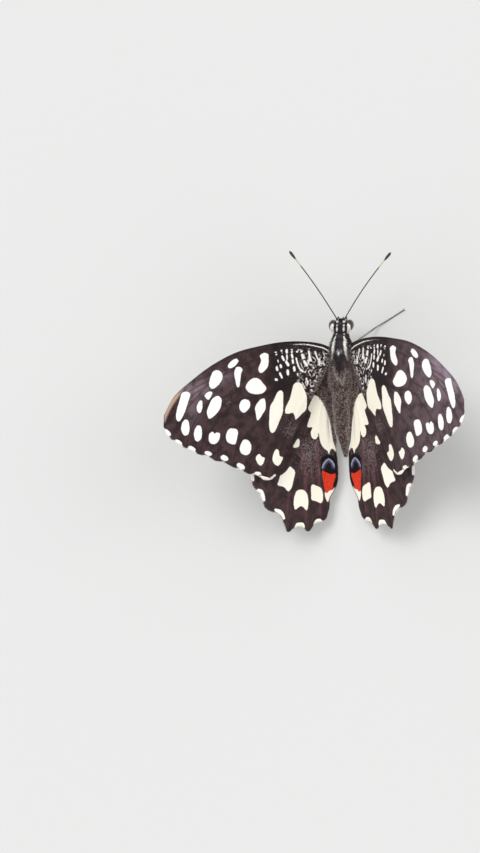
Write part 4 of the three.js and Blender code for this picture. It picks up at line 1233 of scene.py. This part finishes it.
def bodySkin():
    ys = np.linspace(trunk[0][0] + 0.02, trunk[-1][0] - 0.02, skin["rows"])
    count = skin["around"]
    y, angle = np.meshgrid(ys, (np.arange(count) / count * 2 - 1) * math.pi, indexing="ij")
    y, angle = y.ravel(), angle.ravel()
    last = len(y)
    ends = np.array([[x, endY, z] for endY, x, z, *_ in (trunk[0], trunk[-1])])
    local = np.vstack([trunkSurface(y, angle), ends])
    points = placed(onTrunk(local))
    faces = cappedFaces(skin["rows"], count)
    y, angle = np.append(y, ends[:, 1]), np.append(angle, [0, 0])
    cream, dusk = trunkMarks(y, angle)
    # hair lies back along the body, out at the sides of the thorax, forward on the face
    back = np.stack([np.zeros_like(y), -np.ones_like(y), np.zeros_like(y)], -1)
    out = np.stack([np.sin(angle), np.zeros_like(y), np.cos(angle)], -1)
    sideways = np.stack([np.sign(angle) * np.abs(np.cos(angle)), np.zeros_like(y),
                         -np.sin(np.abs(angle))], -1)
    flare = smooth(-7, -3, y) * smooth(4.0, 2.6, y) + 0.5 * smooth(-7.4, -8.4, y) * smooth(-22, -18, y)
    flare = flare + 0.9 * bell(y, -6.9, 1.5)
    face = smooth(6.1, 7, y)[:, None]
    shoulder = bell(y, 2.5, 1.1) * bell(np.abs(angle), 1.4, 0.45)
    lie = back * (1 - 1.2 * face) + (0.55 * flare + 1.1 * shoulder)[:, None] * sideways + 0.3 * face * out
    lie = unit(placed(onTrunk(local + lie * nudge)) - points)
    long = np.interp(y, (-22.5, -20, -12, -8.5, -6, -3, 0, 3, 4, 5, 6.5, 7.2),
                     (0.3, 0.5, 0.6, 0.7, 1.05, 1, 0.6, 0.5, 0.38, 0.3, 0.2, 0.13))
    flank = 0.7 * bell(np.abs(angle), 1.45, 0.4) * smooth(-21, -17, y) * smooth(4, 2.6, y)
    long = long * (1 + flank) + shoulder
    # long flank hair fills the space between the waist and the wings
    long = long + 0.8 * bell(y, -6.6, 1.7) * bell(np.abs(angle), 1.35, 0.5)
    eyeClear = smooth(0.8, 1.15, np.hypot((y - 5.75) / 1.3, (np.abs(angle) - 1.57) / 0.62))
    share = (y - ys[0]) / (ys[-1] - ys[0])
    values = {
        "cream": cream, "dusk": dusk, "coatLie": lie, "coatLength": long,
        "headCoat": smooth(4.0, 4.15, y) * eyeClear * smooth(7.2, 7.05, y),
        "thoraxCoat": smooth(4.1, 4.0, y) * smooth(-7.5, -7.3, y),
        "abdomenCoat": smooth(-7.2, -7.5, y) * smooth(-22.5, -22.2, y)}
    piece = meshPiece("body_skin", points, faces, values, finishes["skin"])
    faceOut(piece)
    unwrap(piece, np.append(angle[:last] / (2 * math.pi) + 0.5, [np.nan, np.nan]), share)
    return piece


body = bodySkin()
join(body, "body_hair", "head", "prothorax", "thorax", "abdomen")
coatLooks = {
    "head": {"perSquareMm": 260, "length": 1.0, "width": 0.05, "lift": 0.36, "spread": 0.22},
    "thorax": {"perSquareMm": 64, "length": 1.15, "width": 0.072, "lift": 0.34, "spread": 0.2},
    "abdomen": {"perSquareMm": 66, "length": 1.15, "width": 0.085, "lift": 0.3, "spread": 0.2},
}
for number, (part, look) in enumerate(coatLooks.items()):
    hair = coat(part + "_coat", body, part + "Coat", look, 20 + number)
    join(hair, "body_hair")
    print(part, "coat faces", len(hair.data.polygons))


# eyes

eyeLid = {"perSquareMm": 330, "length": 0.3, "width": 0.06, "lift": 0.16, "spread": 0.12}

for side, out in sides.items():
    tilt, turn = np.meshgrid(np.linspace(-1, 1, eye["up"]) * math.pi / 2 * 0.985,
                             np.arange(eye["around"]) / eye["around"] * 2 * math.pi, indexing="ij")
    turn, tilt = turn.ravel(), tilt.ravel()
    atX, atY, atZ = eye["place"]
    rx, ry, rz = eye["radii"]
    # poles point sideways, so the rim of pale scales is a ring about them
    local = np.stack([out * (atX + rx * np.sin(tilt)), atY + ry * np.cos(tilt) * np.cos(turn),
                      atZ + rz * np.cos(tilt) * np.sin(turn)], -1)
    local = np.vstack([local, [[out * (atX + s * rx), atY, atZ] for s in (-1, 1)]])
    faces = cappedFaces(eye["up"], eye["around"])
    around = np.append(turn / (2 * math.pi), [np.nan, np.nan])
    turn, tilt = np.append(turn, [0, 0]), np.append(tilt, [-math.pi / 2, math.pi / 2])
    forward = np.cos(tilt) * np.cos(turn)
    lidEdge = eye["lid"] - eye["lidDrop"] * smooth(-0.1, 0.5, forward)
    lid = smooth(lidEdge + 0.05, lidEdge - 0.05, np.sin(tilt)) * smooth(-0.3, -0.2, np.sin(tilt))
    points = placed(onTrunk(local))
    lie = unit(placed(onTrunk(local + np.array([0.15 * out, -1, 0.1]) * nudge)) - points)
    values = {"rimmed": smooth(lidEdge + 0.1, lidEdge, np.sin(tilt)) * smooth(-0.25, -0.1, np.sin(tilt)),
              "lid": lid, "coatLength": np.ones(len(lid)),
              "coatLie": lie, "cream": np.ones(len(lid)), "dusk": np.zeros(len(lid))}
    ball = meshPiece(f"eye_{side}_ball", points, faces, values, finishes["eye"])
    faceOut(ball)
    unwrap(ball, around, tilt / math.pi + 0.5)
    join(ball, "eye", f"eye_{side}")
    join(coat(f"eye_{side}_lid", ball, "lid", eyeLid, 31), "body_hair")


# feelers, palps and tongue

feeler = {"root": (0.66, 6.8, 1.2), "reach": {"left": (10.5, 21.6), "right": (11.15, 20.9)}, "rise": 2.6,
          "bow": 0.45, "shaft": 0.12, "club": 0.3, "clubShare": 0.095, "rings": 52,
          "stepsPerRing": 6, "neck": 0.1, "firstJoint": 0.9, "pale": ((0.77, 0.8), (0.895, 0.88))}
palp = {"x": 0.82, "path": [(5.8, -2.2), (6.6, -2.3), (7.25, -1.65), (7.45, -0.6)], "radius": 0.2}
tongue = {"at": (0, 6.7, -2.6), "coil": 0.82, "hub": 0.28, "turns": 2.5, "radius": 0.12,
          "startTurn": 1.2, "ribs": 300, "taper": 0.35}
palpCoat = {"perSquareMm": 260, "length": 1.0, "width": 0.05, "lift": 0.45, "spread": 0.25}
furFields = ("furred", "cream", "dusk", "along", "coatLie", "coatLength", "coatPlace")


# what a tube carries for hair that lies along it; strip is where it starts and ends along the unwrap
def furOf(points, long, cream, dense, dusk=1.0, strip=(0.01, 0.99)):
    count = len(points)
    return {"furred": dense * np.ones(count), "cream": cream * np.ones(count), "dusk": dusk * np.ones(count),
            "along": np.linspace(*strip, count), "coatLength": long * np.ones(count),
            "coatLie": unit(np.gradient(points, axis=0))}


for side, out in sides.items():
    perRing = feeler["stepsPerRing"]
    t = np.linspace(0, 1, feeler["rings"] * perRing + 1)
    inRing = np.arange(len(t)) % perRing
    rootX, rootY, rootZ = feeler["root"]
    tipX, tipY = feeler["reach"][side]
    x = out * (rootX - feeler["bow"] * np.sin(math.pi * t) + (tipX - rootX) * t)
    path = np.stack([x, rootY + (tipY - rootY) * t, rootZ + feeler["rise"] * np.sin(t * math.pi / 2)], -1)
    club = smooth(1 - feeler["clubShare"] * 1.5, 1 - feeler["clubShare"] * 0.55, t) * np.sqrt(
        np.clip((1.0 - t) / 0.02, 0, 1))
    radius = feeler["shaft"] + (feeler["club"] - feeler["shaft"]) * club
    # thicker first joint, thin neck after it
    radius = radius * (1 - feeler["neck"] * (inRing == 0))
    radius = radius * (1 + feeler["firstJoint"] * smooth(0.035, 0.025, t))
    radius = np.minimum(radius, 0.04 + 1.6 * np.sqrt(1 - t))
    paleFrom, paleTo = feeler["pale"]
    banded = smooth(*paleFrom, t) * smooth(*paleTo, t) + 0.06 * (inRing < 2)
    line = {"points": placed(onTrunk(path)), "radius": radius * mm, "banded": np.clip(banded, 0, 1)}
    join(tubes(f"antenna_{side}_shaft", [line], finishes["feeler"], 14, ("banded",)), "antenna",
         f"antenna_{side}")

    path = curveThrough(np.array(palp["path"]), steps=10)
    t = np.linspace(0, 1, len(path))
    middle = np.stack([np.full(len(t), out * palp["x"]), path[:, 0], path[:, 1]], -1)
    points = placed(onTrunk(middle))
    radius = palp["radius"] * (0.6 + 0.45 * np.sin(math.pi * t ** 0.8)) * np.sqrt(np.minimum(1.02 - t, 1))
    line = {"points": points, "banded": smooth(0.95, 0.6, t), "radius": radius * mm,
            **furOf(points, 0.3, smooth(0.8, 0.6, t), 1)}
    core = tubes(f"palp_{side}_core", [line], finishes["feeler"], 16, ("banded", *furFields))
    join(core, "palp", f"palp_{side}")
    join(coat(f"palp_{side}_coat", core, "furred", palpCoat, 41), "palp")

t = np.linspace(0, 1, 150)
spin = t * tongue["turns"] * 2 * math.pi + tongue["startTurn"]
reach = tongue["coil"] + (tongue["hub"] - tongue["coil"]) * t
atX, atY, atZ = tongue["at"]
path = np.stack([np.full_like(t, atX), atY - reach * np.cos(spin), atZ + reach * np.sin(spin)], -1)
ribs = np.sin(t * tongue["ribs"])
radius = tongue["radius"] * (1 - tongue["taper"] * t) * (1 + 0.06 * ribs)
line = {"points": placed(onTrunk(path)), "banded": 0.5 + 0.5 * ribs, "radius": radius * mm}
join(tubes("tongue_coil", [line], finishes["tongue"], 14, ("banded",)), "tongue", "proboscis")
print("eyes, feelers, palps and tongue ready")


# legs: coxa root on the trunk; hip, knee, ankle and toe in the standing frame

legs = {
    "fore": {"coxaRoot": (0.9, 1.2, -2.6),
             "left": [(-1.25, -0.7, 4.1), (-3.4, 1.5, 6.6), (-7.6, 2.9, 0.6), (-13.4, 3.1)],
             "right": [(1.55, -0.7, 4.1), (3, 2.5, 6.3), (7.3, 6.95, 0.6), (12.95, 10.25)]},
    "mid": {"coxaRoot": (1.2, -1.9, -3),
            "left": [(-1.6, -3.7, 4), (-5.6, -4, 7.7), (-9.7, -4.8, 0.6), (-15.6, -6.8)],
            "right": [(1.9, -3.7, 4), (5.8, -4, 7.7), (9.7, -4.8, 0.6), (15.6, -6.8)]},
    "hind": {"coxaRoot": (1.2, -4.6, -2.8),
             "left": [(-1.7, -6.3, 4.3), (-5.2, -9.9, 7.9), (-7.4, -17.2, 0.6), (-9.4, -24)],
             "right": [(1.7, -6.3, 4.3), (5, -9.9, 7.9), (7.3, -17.2, 0.6), (9.3, -24)]},
}
# straight joints: radii and paleness from end to end, hair length, the hair's paleness at both ends
legJoints = {
    "coxa": {"radii": (0.5, 0.62, 0.42, 0.2), "banded": (0.6, 0.8, 0.4), "hair": 0.6,
             "cream": (0.55, 0.55), "steps": 8},
    "femur": {"radii": (0.12, 0.28, 0.34, 0.36, 0.32, 0.26, 0.12), "banded": (0.2, 0.9, 0.9, 0.3),
              "hair": 0.32, "cream": (0.95, 0.35), "steps": 22},
    "tibia": {"radii": (0.1, 0.2, 0.17, 0.17, 0.19, 0.1), "banded": (0.1, 0.5, 0.35, 0.1), "hair": 0.24,
              "cream": (0.6, 0.1), "steps": 22},
}
tarsus = {"height": 0.14, "stepDown": 0.24, "steps": 61, "joints": 5, "radius": 0.1, "swell": 0.03,
          "end": 0.07}
claw = {"length": 0.42, "spread": 0.2, "rise": 0.12, "radius": 0.07}
legCoat = {"perSquareMm": 62, "length": 1.0, "width": 0.05, "lift": 0.2, "spread": 0.18}


# strip is the line's own sixth of the leg's unwrap
def legLine(points, radii, banded, strip, long, cream, dense=1.0):
    count = len(points)
    share = np.linspace(0, 1, count)
    radius = np.interp(share, np.linspace(0, 1, len(radii)), radii)
    return {"points": points, "radius": radius * mm,
            "banded": np.interp(share, np.linspace(0, 1, len(banded)), banded),
            **furOf(points, long, cream, dense, 0.45, (strip / 6 + 0.01, strip / 6 + 0.15))}


def straight(start, end, count):
    return np.array(start) + (np.array(end) - np.array(start)) * np.linspace(0, 1, count)[:, None]


for pair, leg in legs.items():
    for side, out in sides.items():
        name = f"leg_{pair}_{side}"
        hip, knee, ankle, toe = (np.array(p, float) for p in leg[side])
        root = standing(onTrunk(np.array(leg["coxaRoot"]) * (out, 1, 1)))
        lines = []
        straights = zip((root, hip, knee), (hip, knee, ankle), legJoints.values())
        for strip, (start, end, joint) in enumerate(straights):
            points = stood(straight(start, end, joint["steps"]))
            cream = np.linspace(*joint["cream"], joint["steps"])
            lines.append(legLine(points, joint["radii"], joint["banded"], strip, joint["hair"], cream))
        height = tarsus["height"]
        ground = np.array([ankle + (np.append(toe, 0) - ankle) * share for share in (0, 0.3, 0.6, 1)])
        ground[1:, 2] = tarsus["stepDown"], height, height
        path = alongCurve(ground, np.linspace(0, 1, tarsus["steps"]))
        path[:, 2] = np.maximum(path[:, 2], height)
        rounds = np.sin(np.linspace(0, tarsus["joints"], tarsus["steps"]) % 1 * math.pi)
        swell = tarsus["radius"] + tarsus["swell"] * rounds ** 0.5
        swell[[0, -1]] = tarsus["end"]
        lines.append(legLine(stood(path), swell, (0.2, 0.12), 3, 0.09, 0.1, 0.6))
        heading = unit((ground[3] - ground[2])[:2])
        across = np.array([-heading[1], heading[0]])
        t = np.linspace(0, 1, 9)[:, None]
        rise = tarsus["radius"] + claw["rise"] * np.sin(t * math.pi) - 0.06 * t
        for bend in (-1, 1):
            hook = toe + heading * claw["length"] * t + across * bend * claw["spread"] * np.sin(t * 2.2)
            radii = claw["radius"] - 0.055 * t[:, 0]
            lines.append(legLine(stood(np.c_[hook, rise]), radii, (0, 0), 4.5 + bend / 2, 0.1, 0, 0))
        limb = tubes(name, lines, finishes["leg"], 14, ("banded", *furFields))
        join(limb, "leg", *(f"{name}_{part}" for part in (*legJoints, "tarsus")))
        join(coat(name + "_coat", limb, "furred", legCoat, 51), "body_hair")
print("legs ready")


# floor, light and camera

floorMesh = bpy.data.meshes.new("floor")
floorHalf = 3
floorCorners = [(x * floorHalf, y * floorHalf, 0) for x, y in ((-1, -1), (1, -1), (1, 1), (-1, 1))]
floorMesh.from_pydata(floorCorners, [], [(0, 1, 2, 3)])
floorFinish, _, floorShader = newFinish("floor")
floorShader.inputs["Base Color"].default_value = tone(208, 208, 206)
floorShader.inputs["Roughness"].default_value = 0.8
floorMesh.materials.append(floorFinish)
newObject("floor", floorMesh)

# three soft suns, so that the floor is lit evenly as far as it goes
lamps = [((-0.2, 0.25, 0.85), 28, 1.35), ((0.5, 0.1, 0.5), 40, 0.42), ((0.05, -0.5, 0.5), 40, 0.25)]
for number, (place, spreadDeg, power) in enumerate(lamps):
    lamp = bpy.data.lights.new(f"lamp{number}", "SUN")
    lamp.angle, lamp.energy = math.radians(spreadDeg), power
    holder = newObject(f"lamp{number}", lamp)
    holder.location = place
    holder.rotation_euler = (-Vector(place)).to_track_quat("-Z", "Y").to_euler()

world = bpy.data.worlds.new("sky")
world.use_nodes = True
world.node_tree.nodes["Background"].inputs["Color"].default_value = (0.97, 0.985, 1, 1)
world.node_tree.nodes["Background"].inputs["Strength"].default_value = 0.78
bpy.context.scene.world = world
bpy.context.scene.view_settings.view_transform = "Standard"

# seen from above the back, a little from the right, 450 mm away
lookout = {"distance": 450, "besideDeg": 8, "rollDeg": 2.96, "lens": 88.63, "sensor": 36, "clip": (0.05, 10),
           "aimTurn": (-0.18755, -0.03288, -0.98170)}
beside, roll = math.radians(lookout["besideDeg"]), math.radians(lookout["rollDeg"])
eyePoint = np.array([math.sin(beside), 0, math.cos(beside)]) * lookout["distance"]
pitch = Matrix.Rotation(math.radians(stance["pitchDeg"]), 3, "X")
ahead = Vector(lookout["aimTurn"]).normalized()
over = Vector((math.sin(roll) * math.cos(beside), math.cos(roll), -math.sin(roll) * math.sin(beside)))
right = ahead.cross(over).normalized()
over = right.cross(ahead)
facing = Matrix((pitch @ right, pitch @ over, -(pitch @ ahead))).transposed().to_4x4()
camera = newObject("camera", bpy.data.cameras.new("camera"))
camera.data.lens, camera.data.sensor_width = lookout["lens"], lookout["sensor"]
camera.data.clip_start, camera.data.clip_end = lookout["clip"]
camera.matrix_world = Matrix.Translation(Vector(placed(eyePoint))) @ facing
bpy.context.scene.camera = camera
